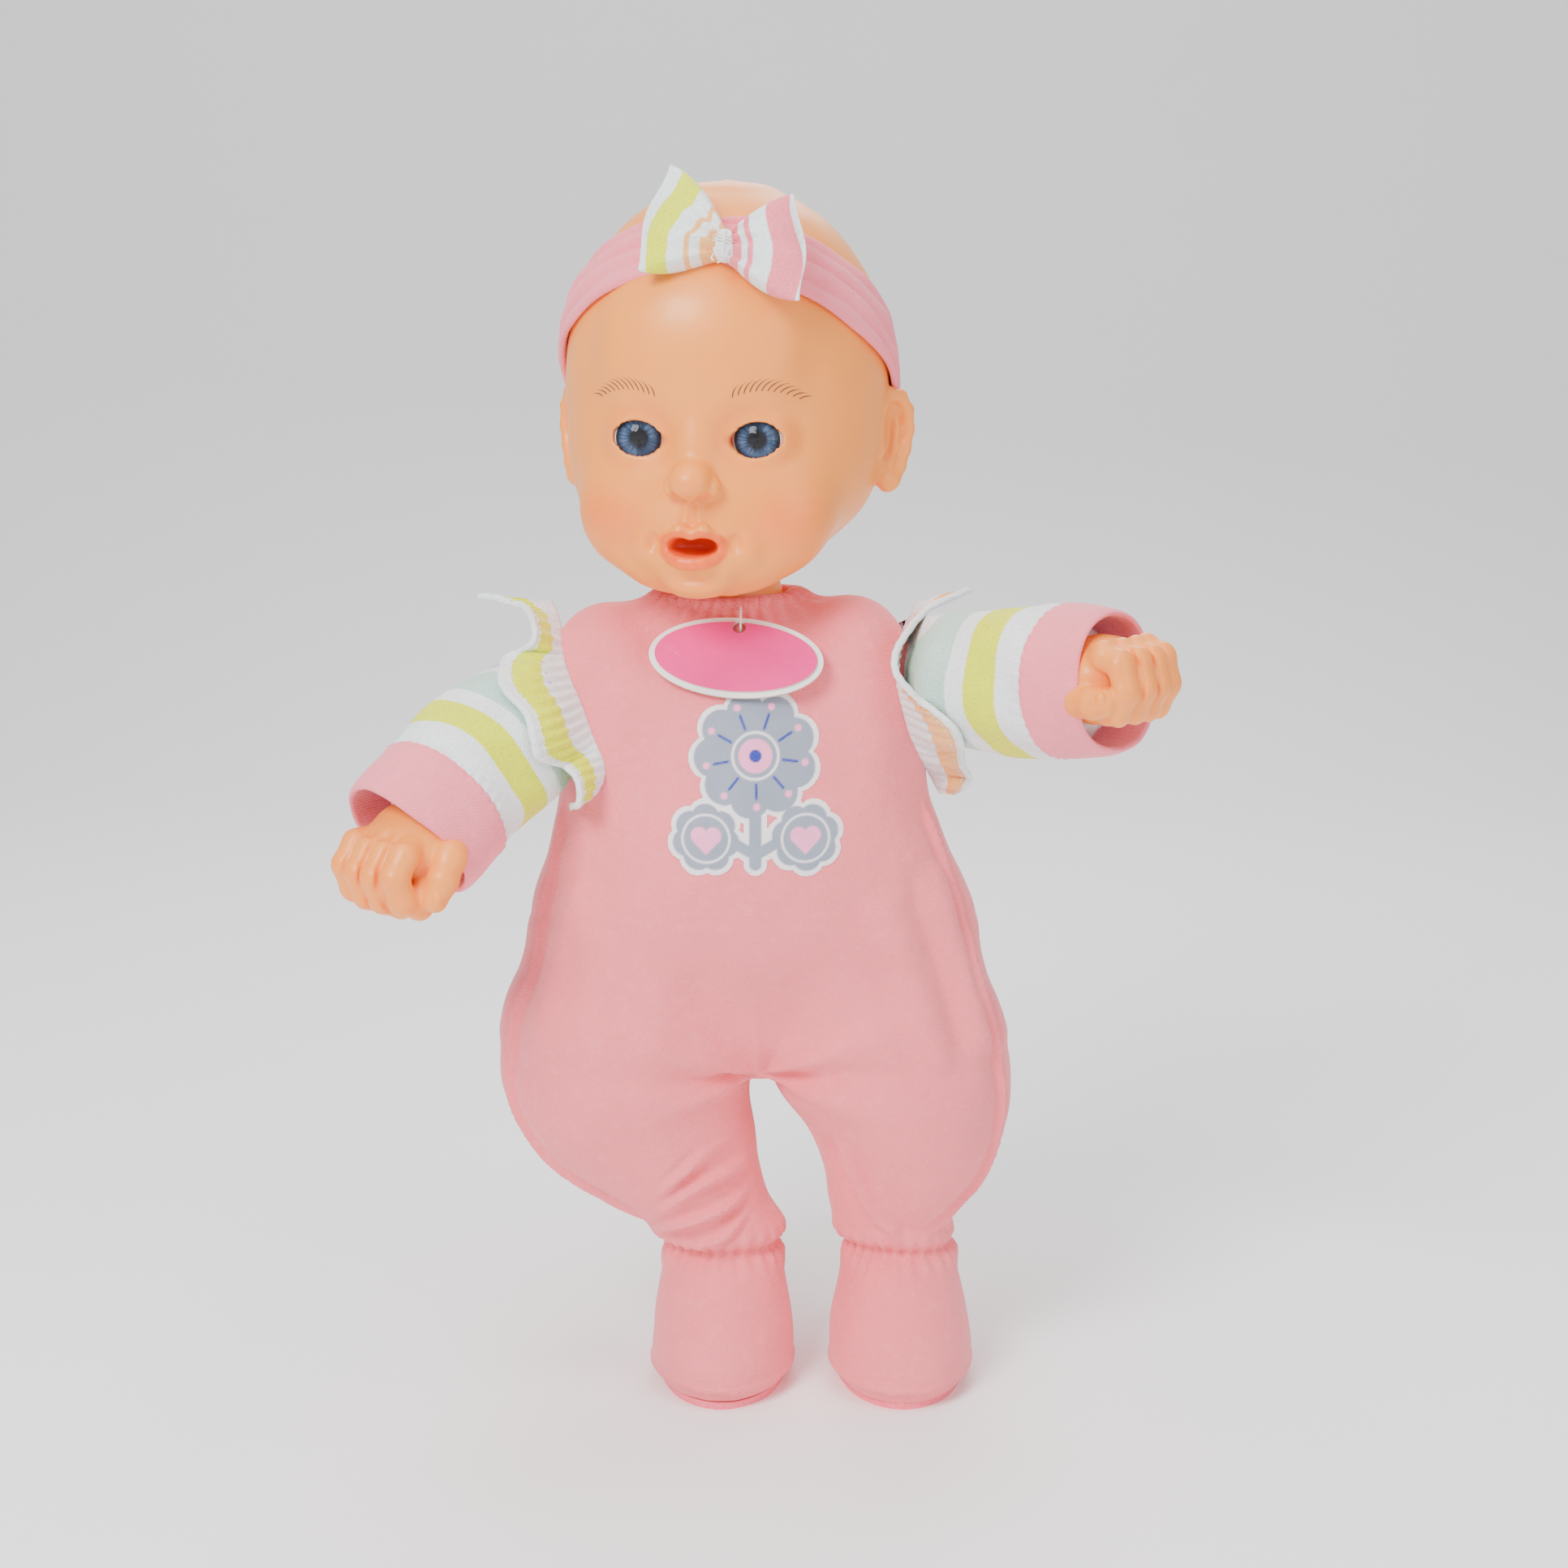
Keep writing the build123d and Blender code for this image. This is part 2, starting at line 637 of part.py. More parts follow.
def make_head():
    place = head_place()
    skin = head_body(0) - Sphere(neck_room_r()) + head_features()
    hollow = head_body(-VINYL) - Sphere(neck_room_r() + VINYL)
    collar = extrude(Circle(NECK_STEM_R + COLLAR_WALL), COLLAR_HEIGHT)
    lip_height = 2 * JOINT_GAP + NECK_LIP
    lip_room = extrude(Circle(NECK_LIP_R + JOINT_GAP), lip_height)
    skin = skin - hollow + Pos(0, 0, COLLAR_LIFT) * collar
    skin -= Pos(0, 0, COLLAR_LIFT + COLLAR_HEIGHT) * lip_room
    stem_top = COLLAR_LIFT + COLLAR_HEIGHT + lip_height
    skin -= extrude(Circle(NECK_STEM_R + JOINT_GAP), stem_top)
    skin -= Sphere(NECK_BALL_R + JOINT_GAP)
    lips = scale(Sphere(MOUTH_WIDTH / 2 + LIPS_MARGIN), by=LIPS_SHAPE)
    skin += Pos(0, -HEAD_HALF_DEPTH * LIPS_OUT, eye_z() - MOUTH_DROP) * lips
    skin -= mouth_room()
    for room in eye_rooms():
        skin -= room
    write(place * skin, "head_shell")
    for name, sign in SIDES.items():
        make_eye(place * eye_centre(sign), name)


def iris_seat():
    """How far in front of the eyeball's centre the iris lies, so that its rim is just inside."""
    return sqrt(EYE_R ** 2 - IRIS_R ** 2) - IRIS_THICK


def make_eye(place, name):
    """A dome with a flat seat for the iris, and a clear lens over it."""
    seat = iris_seat()
    ball = Sphere(EYE_R) - Rot(90, 0, 0) * Pos(0, 0, seat) * extrude(Circle(IRIS_R), EYE_R)
    back_half = Box(FAR, FAR, FAR, align=(Align.CENTER, Align.MIN, Align.CENTER))
    ball -= Pos(0, EYE_R * 0.2, 0) * back_half
    write(place * ball, "eye_white_" + name)
    iris = Rot(90, 0, 0) * Pos(0, 0, seat) * extrude(Circle(IRIS_R), IRIS_THICK)
    write(place * iris, "iris_" + name)
    lens = Rot(90, 0, 0) * Pos(0, 0, seat + IRIS_THICK) * extrude(Circle(IRIS_R), EYE_R)
    lens &= Pos(0, -CORNEA_DOME, 0) * Sphere(EYE_R)
    write(place * lens, "cornea_" + name)


def band_slab():
    middle = CHIN_LIFT + HEAD_HEIGHT * BAND_SHARE
    return Pos(0, 0, middle) * Rot(-BAND_TILT, 0, 0) * Box(FAR, FAR, BAND_WIDTH)


def make_headband():
    place = head_place()
    band = (head_body(BAND) - head_body(0)) & band_slab()
    notch = Box(3 * EAR_WIDTH, EAR_HEIGHT * 0.9, EAR_HEIGHT + 4)
    for sign in SIDES.values():
        band -= ear_place(sign) * notch
    write(place * band, "headband")


def make_bow():
    """Two pillowy loops and the wrap between them, on the band over the brow."""
    lift = CHIN_LIFT + HEAD_HEIGHT * BOW_SHARE
    place = head_place() * Pos(BOW_X, -HEAD_HALF_DEPTH * BOW_OUT, lift)
    place = place * Rot(BOW_LEAN, BOW_ROLL, 0)
    start = BOW_WRAP_WIDTH / 2
    rows = []
    for reach, height, thick in BOW_ROWS:
        z = start + (BOW_WIDTH / 2 - start) * reach
        half_thick = BOW_THICK / 2 * thick
        rows.append(outline(z, BOW_HEIGHT / 2 * height, half_thick, half_thick))
    loop = loft(rows)
    loops = [Rot(0, 90 * sign, 0) * loop for sign in SIDES.values()]
    wrap = RectangleRounded(BOW_WRAP_WIDTH, BOW_THICK, BOW_WRAP_ROUND)
    wrap = extrude(wrap, BOW_HEIGHT * BOW_WRAP_SHARE, both=True)
    room = head_place() * head_body(BAND)
    write(Compound(children=[place * loop - room for loop in loops]), "bow_loops")
    write(place * wrap - room, "bow_wrap")


# --- Arms, built along their own +Z from the shoulder joint ---

def arm_place(side):
    """Frame whose +Z runs down the arm, turned forwards and raised or lowered."""
    turn = ARM_TURN[side] if side == "left" else -180 - ARM_TURN[side]
    return Pos(shoulder(side)) * Rot(0, 0, turn) * Rot(0, 90 - ARM_RISE[side], 0)


def make_shoulder(side):
    sign = SIDES[side]
    stub_length = ARMHOLE_DEPTH - FIT_GAP
    stub = Rot(0, -90 * sign, 0) * extrude(Circle(STUB_R), stub_length)
    write(Pos(shoulder(side)) * (Sphere(SHOULDER_R) + stub), "shoulder_filling_" + side)


def make_arm(side):
    place = arm_place(side)
    slope = (SLEEVE_END_R - SLEEVE_ROOT_R) / (SLEEVE_END - SLEEVE_START)
    length = SLEEVE_END - SLEEVE_START
    low = (Align.CENTER, Align.CENTER, Align.MIN)
    outer = Cone(SLEEVE_ROOT_R, SLEEVE_END_R, length, align=low)
    inner = Cone(SLEEVE_ROOT_R - SLEEVE_CLOTH, SLEEVE_END_R - SLEEVE_CLOTH, length, align=low)
    write(place * Pos(0, 0, SLEEVE_START) * (outer - inner), "sleeve_" + side)

    root_r = SLEEVE_ROOT_R - SLEEVE_CLOTH + slope * (FILLING_START - SLEEVE_START)
    end_r = SLEEVE_END_R - SLEEVE_CLOTH
    upper = Cone(root_r, end_r, SLEEVE_END - FILLING_START, align=low)
    wrist = Cone(end_r, WRIST_FLANGE_R + 3, WRIST_FILLING, align=low)
    filling = Pos(0, 0, FILLING_START) * upper + Pos(0, 0, SLEEVE_END) * wrist
    filling -= Sphere(SHOULDER_R + JOINT_GAP)
    flange_at = SLEEVE_END + 4
    flange_room = extrude(Circle(WRIST_FLANGE_R + JOINT_GAP), WRIST_FLANGE + 2 * JOINT_GAP)
    filling -= Pos(0, 0, flange_at - JOINT_GAP) * flange_room
    filling -= Pos(0, 0, flange_at) * extrude(Circle(WRIST_R + JOINT_GAP), SLEEVE_END)
    tie_at = flange_at + WRIST_FLANGE + 1.5
    tie = Pos(0, 0, tie_at) * tube(WRIST_FLANGE_R + 4.5, WRIST_FLANGE_R + 1.0, WRIST_TIE)
    write(place * (filling - tie), "arm_filling_" + side)
    write(place * tie, "wrist_tie_" + side)

    cuff_r = SLEEVE_END_R + 1.0
    cuff = Pos(0, 0, SLEEVE_END) * tube(cuff_r, cuff_r - CUFF_WALL, CUFF_LENGTH)
    write(place * (cuff - filling), "cuff_" + side)

    seat_r = SLEEVE_ROOT_R + slope * (RUFFLE_AT - SLEEVE_START)
    disc = tube(seat_r + RUFFLE_REACH, SLEEVE_ROOT_R - SLEEVE_CLOTH, RUFFLE_CLOTH)
    armpit = Pos(-20, 0, 0) * Box(40, 26, 20, align=(Align.MAX, Align.CENTER, Align.CENTER))
    ruffle = Pos(0, 0, RUFFLE_AT) * disc - Pos(0, 0, SLEEVE_START) * outer - armpit
    write(place * ruffle, "ruffle_" + side)


def rounded_rod(radius, length):
    """A cylinder along Z with a half ball at its +Z end, and one at the other."""
    rod = Cylinder(radius, length)
    for end in (-length / 2, length / 2):
        rod += Pos(0, 0, end) * Sphere(radius)
    return rod


def make_hand(side):
    """A vinyl fist: wrist with a flange, palm, four curled fingers and a thumb."""
    flange_at = SLEEVE_END + 4
    palm_at = ARM_REACH - FIST_DEPTH * 0.42
    hand = Pos(0, 0, flange_at) * extrude(Circle(WRIST_FLANGE_R), WRIST_FLANGE)
    hand += Pos(0, 0, flange_at) * extrude(Circle(WRIST_R), palm_at - flange_at + 4)
    palm = scale(Sphere(FIST_WIDTH / 2), by=PALM_SHAPE)
    hand += Pos(0, 0, ARM_REACH) * palm
    for i in range(4):
        spread = (i - 1.5) * FINGER_PITCH
        place = Pos(-2, spread, ARM_REACH + FINGERS_OUT) * Rot(0, 90, 0)
        hand += place * rounded_rod(FINGER_R, FINGER_LENGTH)
    place = Pos(3, SIDES[side] * -THUMB_SIDE, ARM_REACH + 1) * Rot(0, THUMB_TURN, 0)
    hand += place * rounded_rod(THUMB_R, THUMB_LENGTH)
    write(arm_place(side) * hand, "hand_" + side)


# --- Legs ---

def leg_body(side, grow):
    """Thigh, knee and ankle as one stuffed tube, with a dome at the hip."""
    joint = hip(side)
    dome = THIGH_R + grow
    rows = []
    for degrees in LEVELS:
        r = dome * cos(degrees * pi / 180)
        rows.append(outline(HIP_Z + dome * sin(degrees * pi / 180), r, r, r, joint.X, BODY_Y))
    for share, radius, shift in LEG_ROWS:
        r = THIGH_R * radius + grow
        z = HIP_Z - (HIP_Z - ANKLE_Z) * share
        rows.append(outline(z, r, r, r, joint.X + ANKLE_SHIFT[side] * shift, BODY_Y))
    for z in (ANKLE_Z + 2 * ELASTIC_WIDTH, ANKLE_Z):
        r = ANKLE_R + grow
        rows.append(outline(z, r, r, r, joint.X + ANKLE_SHIFT[side], BODY_Y))
    return loft(rows)


def foot_rows(rows, x):
    """Lofts (height, half width, toe reach, heel reach) outlines over the ankle's place."""
    return loft([outline(z, width, toe, heel, x, BODY_Y) for z, width, toe, heel in rows])


def make_leg(side):
    joint = hip(side)
    x = joint.X + ANKLE_SHIFT[side]
    filling = leg_body(side, 0)
    elastic_r = ANKLE_R + CLOTH + 0.2
    elastic = Pos(x, BODY_Y, ANKLE_Z + 0.4) * tube(elastic_r + ELASTIC, elastic_r, ELASTIC_WIDTH)
    above = Box(FAR, FAR, FAR, align=(Align.CENTER, Align.CENTER, Align.MIN))
    hem_room = Pos(0, 0, HIP_Z + THIGH_R * HEM_SHARE) * above
    skin = leg_body(side, CLOTH) - filling - elastic - hem_room
    write(filling, "leg_filling_" + side)
    write(skin, "romper_leg_" + side)
    write(elastic, "ankle_elastic_" + side)
    instep = ANKLE_Z - SOLE
    bootie = foot_rows([
        (SOLE, FOOT_HALF_WIDTH - 2, TOE_REACH - 2, HEEL_REACH - 2),
        (SOLE + instep * 0.12, FOOT_HALF_WIDTH, TOE_REACH, HEEL_REACH),
        (SOLE + instep * 0.35, FOOT_HALF_WIDTH, TOE_REACH - 1, HEEL_REACH),
        (SOLE + instep * 0.68, FOOT_HALF_WIDTH - 2, TOE_REACH - 10, HEEL_REACH - 3),
        (ANKLE_Z, ANKLE_R + CLOTH, ANKLE_R + CLOTH, ANKLE_R + CLOTH),
    ], x)
    write(bootie, "bootie_" + side)
    sole = foot_rows([
        (0, FOOT_HALF_WIDTH - 2, TOE_REACH - 2, HEEL_REACH - 2),
        (SOLE, FOOT_HALF_WIDTH - 2, TOE_REACH - 2, HEEL_REACH - 2),
    ], x)
    write(sole, "sole_" + side)


# --- Hang tag ---

def tag_loop_place():
    """Middle of the thread loop, which comes out of the cloth just under the neck binding."""
    collar_r = NECK_BALL_R + NECK_WALL + CLOTH
    return Pos(NECK.X + TAG_X, NECK.Y - collar_r - TAG_LOOP_R, NECK.Z - TAG_LOOP_R - 0.5)


def tag_hole_place():
    """Where the loop passes squarely through the cards at half their swing."""
    down = 90 - TAG_LEAN - TAG_SWING / 2
    return tag_loop_place() * Rot(down, 0, 0) * Pos(0, -TAG_LOOP_R, 0) * Rot(-down, 0, 0)


def make_tag():
    """Two oval cards on a loop through the neck binding, lying on the chest."""
    place = tag_hole_place() * Rot(-TAG_LEAN, 0, 0) * Rot(0, TAG_ROLL, 0) * Rot(90, 0, 0)
    place = place * Pos(0, TAG_HOLE_DROP - TAG_HEIGHT / 2, -TAG_CARD)
    hole = Pos(0, TAG_HEIGHT / 2 - TAG_HOLE_DROP, -5) * extrude(Circle(TAG_HOLE_R), 10)
    shape = Ellipse(TAG_WIDTH / 2 - TAG_MARGIN, TAG_HEIGHT / 2 - TAG_MARGIN)
    write(place * (Pos(0, 0, TAG_CARD) * extrude(shape, TAG_CARD) - hole), "tag_front_card")
    write(place * (extrude(Ellipse(TAG_WIDTH / 2, TAG_HEIGHT / 2), TAG_CARD) - hole), "tag_back_card")
    loop = Rot(0, 90, 0) * Torus(TAG_LOOP_R, TAG_WIRE_R)
    write(tag_loop_place() * loop - neck_binding() - trunk_body(CLOTH), "tag_loop")


def main():
    os.makedirs("parts", exist_ok=True)
    make_torso(limb_room())
    make_closure()
    make_module()
    make_neck()
    make_head()
    make_headband()
    make_bow()
    for side in SIDES:
        make_shoulder(side)
        make_arm(side)
        make_hand(side)
        make_leg(side)
    make_tag()


if __name__ == "__main__":
    main()
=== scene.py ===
"""Looks for the soft-bodied baby doll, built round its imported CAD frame.

Lengths are in millimetres until a mesh is made. The doll faces -Y, and its left side is at +X.
"""
import math

import bpy
import numpy as np
import openvdb as vdb
from mathutils import Euler, Matrix, Vector, noise
from mathutils.bvhtree import BVHTree


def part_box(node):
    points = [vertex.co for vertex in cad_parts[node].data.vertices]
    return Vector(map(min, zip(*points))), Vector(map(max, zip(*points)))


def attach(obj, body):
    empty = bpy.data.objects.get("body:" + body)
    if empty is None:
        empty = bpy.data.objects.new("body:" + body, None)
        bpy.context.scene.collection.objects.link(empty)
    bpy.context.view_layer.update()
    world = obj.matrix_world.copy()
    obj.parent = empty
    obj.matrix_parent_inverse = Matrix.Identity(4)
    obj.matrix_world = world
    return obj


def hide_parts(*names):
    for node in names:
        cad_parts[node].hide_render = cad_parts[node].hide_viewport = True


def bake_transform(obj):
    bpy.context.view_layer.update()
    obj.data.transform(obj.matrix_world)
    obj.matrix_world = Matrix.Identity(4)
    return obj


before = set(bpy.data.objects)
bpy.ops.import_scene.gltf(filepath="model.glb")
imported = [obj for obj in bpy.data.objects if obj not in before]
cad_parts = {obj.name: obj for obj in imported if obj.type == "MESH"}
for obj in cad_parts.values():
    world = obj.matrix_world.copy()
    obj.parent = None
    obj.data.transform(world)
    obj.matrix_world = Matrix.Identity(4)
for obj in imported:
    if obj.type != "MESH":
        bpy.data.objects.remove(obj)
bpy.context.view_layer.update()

MM = 0.001
SIDES = {"right": -1, "left": 1}

# --- Places that the CAD fixes ---
NECK = Vector((-6.8, 12.9, 229.0))
HEAD_TILT = 2.2
HEAD_TURN = -6.5
BODY_X = 2.7
BODY_Y = 12.9
HIP_Z = 98.0
TRUNK_HEIGHT = 131.0
TRUNK_HALF_WIDTH = 63.5
TRUNK_HALF_DEPTH = 41.5
TRUNK_LEAN = -9.5
HIP_X = 38.0
ANKLE_SHIFT = {"right": 26.0, "left": 2.0}
SHOULDER = {"right": Vector((-46.8, 6.9, 211.0)), "left": Vector((33.2, 6.9, 206.0))}
ARM_TURN = {"right": -132.0, "left": -41.4}
ARM_RISE = {"right": -34.0, "left": 4.4}
CHIN_LIFT = 3.7
HEAD_HEIGHT = 111.0
HEAD_HALF_WIDTH = 44.0
HEAD_HALF_DEPTH = 50.0
NECK_ROOM_R = 22.5
EYE = Vector((16.0, -36.45, 46.1))
EYE_R = 9.0
IRIS_R = 6.2

HEAD_ROWS = [
    (0.000, 0.20, 0.72, -0.50), (0.045, 0.47, 0.83, 0.06), (0.110, 0.67, 0.92, 0.45),
    (0.200, 0.89, 0.98, 0.80), (0.300, 0.98, 0.99, 0.97), (0.420, 1.02, 0.96, 1.06),
    (0.560, 1.02, 0.98, 1.10), (0.700, 0.96, 0.94, 1.05), (0.820, 0.80, 0.79, 0.90),
    (0.910, 0.60, 0.59, 0.68), (0.965, 0.38, 0.37, 0.43), (0.998, 0.12, 0.12, 0.14),
]
TRUNK_ROWS = [
    (-0.046, 0.30, 0.38, 0.0), (0.061, 0.58, 0.60, -0.04), (0.168, 0.87, 0.80, -0.04),
    (0.275, 1.00, 0.96, 0.00), (0.443, 0.90, 1.00, 0.04), (0.656, 0.76, 0.91, 0.05),
    (0.840, 0.60, 0.74, 0.03), (0.935, 0.41, 0.56, 0.01), (1.0, 0.315, 0.48, 0.0),
]


def place_matrix(origin, *turns):
    """A frame at origin, turned by (axis, degrees) pairs, each about the axes so far."""
    matrix = Matrix.Translation(origin)
    for axis, degrees in turns:
        matrix = matrix @ Matrix.Rotation(math.radians(degrees), 4, axis)
    return matrix


CAD_HEAD = place_matrix(NECK, ("Y", HEAD_TILT), ("Z", HEAD_TURN))
HEAD_SHIFT, LESS_TILT, LESS_TURN = Vector((-1.0, 0, 0.3)), 1.8, 2.6  # mm and degrees, off the CAD head
HEAD_PLACE = place_matrix(NECK + HEAD_SHIFT, ("Y", HEAD_TILT - LESS_TILT), ("Z", HEAD_TURN - LESS_TURN))
ARM_PLACE = {
    side: place_matrix(SHOULDER[side], ("Z", ARM_TURN[side]), ("Y", 90 - ARM_RISE[side]))
    for side in SIDES
}


def moved(points, matrix):
    m = np.array(matrix)
    return np.asarray(points) @ m[:3, :3].T + m[:3, 3]


def smoothstep(low, high, x):
    t = np.clip((x - low) / (high - low), 0, 1)
    return t * t * (3 - 2 * t)


def bell(x, middle, width):
    return np.exp(-((x - middle) / width) ** 2)


def noise_at(points, size, seed=0.0):
    """Smooth noise from -1 to 1 whose features are about `size` millimetres."""
    shift = Vector((seed, 2.3 * seed, 5.1 * seed))
    return np.array([noise.noise(Vector(p) / size + shift) for p in points])


def through(rows, t):
    """Smooth curves through the columns of rows, at each t of the first column."""
    rows = np.asarray(rows, float)
    knots, values = rows[:, 0], rows[:, 1:]
    slopes = np.gradient(values, knots, axis=0)
    i = np.clip(np.searchsorted(knots, t) - 1, 0, len(knots) - 2)
    span = (knots[i + 1] - knots[i])[:, None]
    u = np.clip((t - knots[i])[:, None] / span, 0, 1)
    u2, u3 = u * u, u * u * u
    return (
        (2 * u3 - 3 * u2 + 1) * values[i] + (u3 - 2 * u2 + u) * span * slopes[i]
        + (3 * u2 - 2 * u3) * values[i + 1] + (u3 - u2) * span * slopes[i + 1]
    )


# --- Sculpting in voxels ---

class Clay:
    """A block of voxels holding the distance to a surface, negative inside it."""

    def __init__(self, low, high, voxel):
        self.voxel = voxel
        self.low = np.array(low, float)
        counts = np.ceil((np.array(high) - self.low) / voxel).astype(int) + 1
        self.axes = [np.float32(self.low[i] + voxel * np.arange(counts[i])) for i in range(3)]
        self.d = np.full(counts, 10.0, np.float32)

    def block(self, low, high):
        cuts = []
        for axis, a, b in zip(self.axes, low, high):
            i, j = np.searchsorted(axis, (a, b))
            cuts.append(slice(i, j))
        x, y, z = (axis[c] for axis, c in zip(self.axes, cuts))
        return tuple(cuts), (x[:, None, None], y[None, :, None], z[None, None, :])

    def add(self, distance, low, high, soft=0.0, cut=False):
        margin = soft + 3 * self.voxel
        cuts, grid = self.block(np.array(low) - margin, np.array(high) + margin)
        new, old, k = distance(*grid), self.d[cuts], max(soft, 1e-3)
        sign = -1 if cut else 1
        new = sign * new
        h = np.clip(0.5 + 0.5 * sign * (old - new) / k, 0, 1)
        self.d[cuts] = old + (new - old) * h - sign * k * h * (1 - h)

    def ball(self, centre, radii, soft=0.0, turn=(0, 0, 0), cut=False):
        c = np.array(centre, float)
        r = np.array(radii, float) * np.ones(3)
        m = np.array(Euler([math.radians(a) for a in turn]).to_matrix()).T

        def distance(x, y, z):
            p = (x - c[0], y - c[1], z - c[2])
            q = [m[i][0] * p[0] + m[i][1] * p[1] + m[i][2] * p[2] for i in range(3)]
            k0 = np.sqrt(sum((q[i] / r[i]) ** 2 for i in range(3)))
            k1 = np.sqrt(sum((q[i] / r[i] ** 2) ** 2 for i in range(3)))
            return k0 * (k0 - 1) / np.maximum(k1, 1e-5)
        self.add(distance, c - r.max(), c + r.max(), soft, cut)

    def rod(self, a, b, ra, rb, soft=0.0, cut=False):
        a, b = np.array(a, float), np.array(b, float)
        ab = b - a

        def distance(x, y, z):
            p = (x - a[0], y - a[1], z - a[2])
            t = np.clip(sum(p[i] * ab[i] for i in range(3)) / (ab @ ab), 0, 1)
            return np.sqrt(sum((p[i] - t * ab[i]) ** 2 for i in range(3))) - (ra + (rb - ra) * t)
        r = max(ra, rb)
        self.add(distance, np.minimum(a, b) - r, np.maximum(a, b) + r, soft, cut)

    def chain(self, points, radii, soft=0.0, inner=1.0, cut=False):
        """Rods end to end. The first joins with `soft`, the others run on from it."""
        for i in range(len(points) - 1):
            self.rod(points[i], points[i + 1], radii[i], radii[i + 1], soft if i == 0 else inner, cut)

    def stack(self, rows, soft=0.0):
        """A body through level ellipses: (z, half width, lowest y, highest y, x)."""
        z = self.axes[2]
        rows = np.array(rows, float)
        half = (rows[:, 3] - rows[:, 2]) / 2
        table = np.stack([rows[:, 0], rows[:, 1] ** 2, half ** 2,
                          (rows[:, 2] + rows[:, 3]) / 2, rows[:, 4]], 1)
        w2, h2, cy, cx = through(table, z).T
        below, above = z < rows[0, 0], z > rows[-1, 0]
        outside = np.maximum(rows[0, 0] - z, z - rows[-1, 0])
        x, y = self.axes[0][:, None, None], self.axes[1][None, :, None]
        w = np.sqrt(np.maximum(w2, 0.05))
        h = np.sqrt(np.maximum(h2, 0.05))
        k = np.sqrt(((x - cx) / w) ** 2 + ((y - cy) / h) ** 2)
        field = (k - 1) * np.minimum(w, h)
        field = np.where(below | above, np.maximum(field, outside), field).astype(np.float32)
        gx, gy, gz = np.gradient(field, self.voxel)
        field /= np.maximum(np.sqrt(gx * gx + gy * gy + gz * gz), 0.35)
        old, s = self.d, max(soft, 1e-3)
        t = np.clip(0.5 + 0.5 * (old - field) / s, 0, 1)
        self.d = old + (field - old) * t - s * t * (1 - t)

    def surface(self, rounds=3):
        band = 3 * self.voxel
        grid = vdb.FloatGrid(band)
        grid.copyFromArray(np.ascontiguousarray(np.clip(self.d, -band, band)))
        grid.transform = vdb.createLinearTransform(voxelSize=self.voxel)
        points, _, quads = grid.convertToPolygons(isovalue=0.0, adaptivity=0.0)
        points = points.astype(float) + self.low
        return relax(points, quads, rounds), quads


def relax(points, quads, rounds, share=0.5):
    """Evens out the voxel steps, by moving each point towards its neighbours and back out."""
    a = quads.ravel()
    b = np.roll(quads, -1, axis=1).ravel()
    count = np.bincount(a, minlength=len(points)) + np.bincount(b, minlength=len(points))
    count = np.maximum(count, 1)[:, None]
    for step in range(2 * rounds):
        total = np.stack([
            np.bincount(a, points[b, i], len(points)) + np.bincount(b, points[a, i], len(points))
            for i in range(3)
        ], 1)
        points = points + (share if step % 2 == 0 else -share * 1.04) * (total / count - points)
    return points


def normals_of(points, quads):
    p = points[quads]
    n = np.cross(p[:, 2] - p[:, 0], p[:, 3] - p[:, 1])
    total = np.stack([np.bincount(quads.ravel(), np.repeat(n[:, i], 4), len(points)) for i in range(3)], 1)
    return total / np.maximum(np.linalg.norm(total, axis=1, keepdims=True), 1e-9)


# --- Meshes ---

def new_piece(name, points, faces, material, marks=None, smooth=True):
    """A mesh object from points in millimetres. marks are numbers kept at the points."""
    data = bpy.data.meshes.new(name)
    faces = faces.tolist() if hasattr(faces, "tolist") else faces
    data.from_pydata((np.asarray(points) * MM).tolist(), [], faces)
    data.polygons.foreach_set("use_smooth", np.full(len(data.polygons), smooth))
    for mark, values in (marks or {}).items():
        attribute = data.attributes.new(mark, "FLOAT", "POINT")
        attribute.data.foreach_set("value", np.asarray(values, np.float32))
    data.materials.append(material)
    data.update()
    piece = bpy.data.objects.new(name, data)
    bpy.context.scene.collection.objects.link(piece)
    return piece


def tree_of(*pieces):
    """A search tree over whole pieces, in millimetres."""
    points, faces = [], []
    for piece in pieces:
        start = len(points)
        points += [piece.matrix_world @ v.co / MM for v in piece.data.vertices]
        faces += [[start + k for k in face.vertices] for face in piece.data.polygons]
    return BVHTree.FromPolygons(points, faces)


def net_faces(rows, columns, wrap_rows=False, wrap_columns=False, start=0):
    """Quads over a grid of points, row by row."""
    faces = []
    for i in range(rows if wrap_rows else rows - 1):
        for j in range(columns if wrap_columns else columns - 1):
            k, l = (i + 1) % rows, (j + 1) % columns
            faces.append((start + i * columns + j, start + i * columns + l,
                          start + k * columns + l, start + k * columns + j))
    return faces


def refine(piece, levels=1):
    """Applies a subdivision surface, so that the piece's mesh is final."""
    modifier = piece.modifiers.new("subdivision", "SUBSURF")
    modifier.levels = modifier.render_levels = levels
    bpy.context.view_layer.update()
    fine = bpy.data.meshes.new_from_object(piece.evaluated_get(bpy.context.evaluated_depsgraph_get()))
    piece.modifiers.clear()
    piece.data = fine
    return piece


# --- Materials ---

def colour(red, green, blue):
    """A linear colour from screen values of 0 to 255."""
    def linear(v):
        v /= 255
        return v / 12.92 if v <= 0.04045 else ((v + 0.055) / 1.055) ** 2.4
    tint = [linear(v) for v in (red, green, blue)]
    grey = 0.3 * tint[0] + 0.6 * tint[1] + 0.1 * tint[2]
    return tuple(min(1.0, max(0.0, grey + RICHNESS * (c - grey))) for c in tint) + (1.0,)


RICHNESS = 1.7            # makes up for the view transform, which greys bright colours


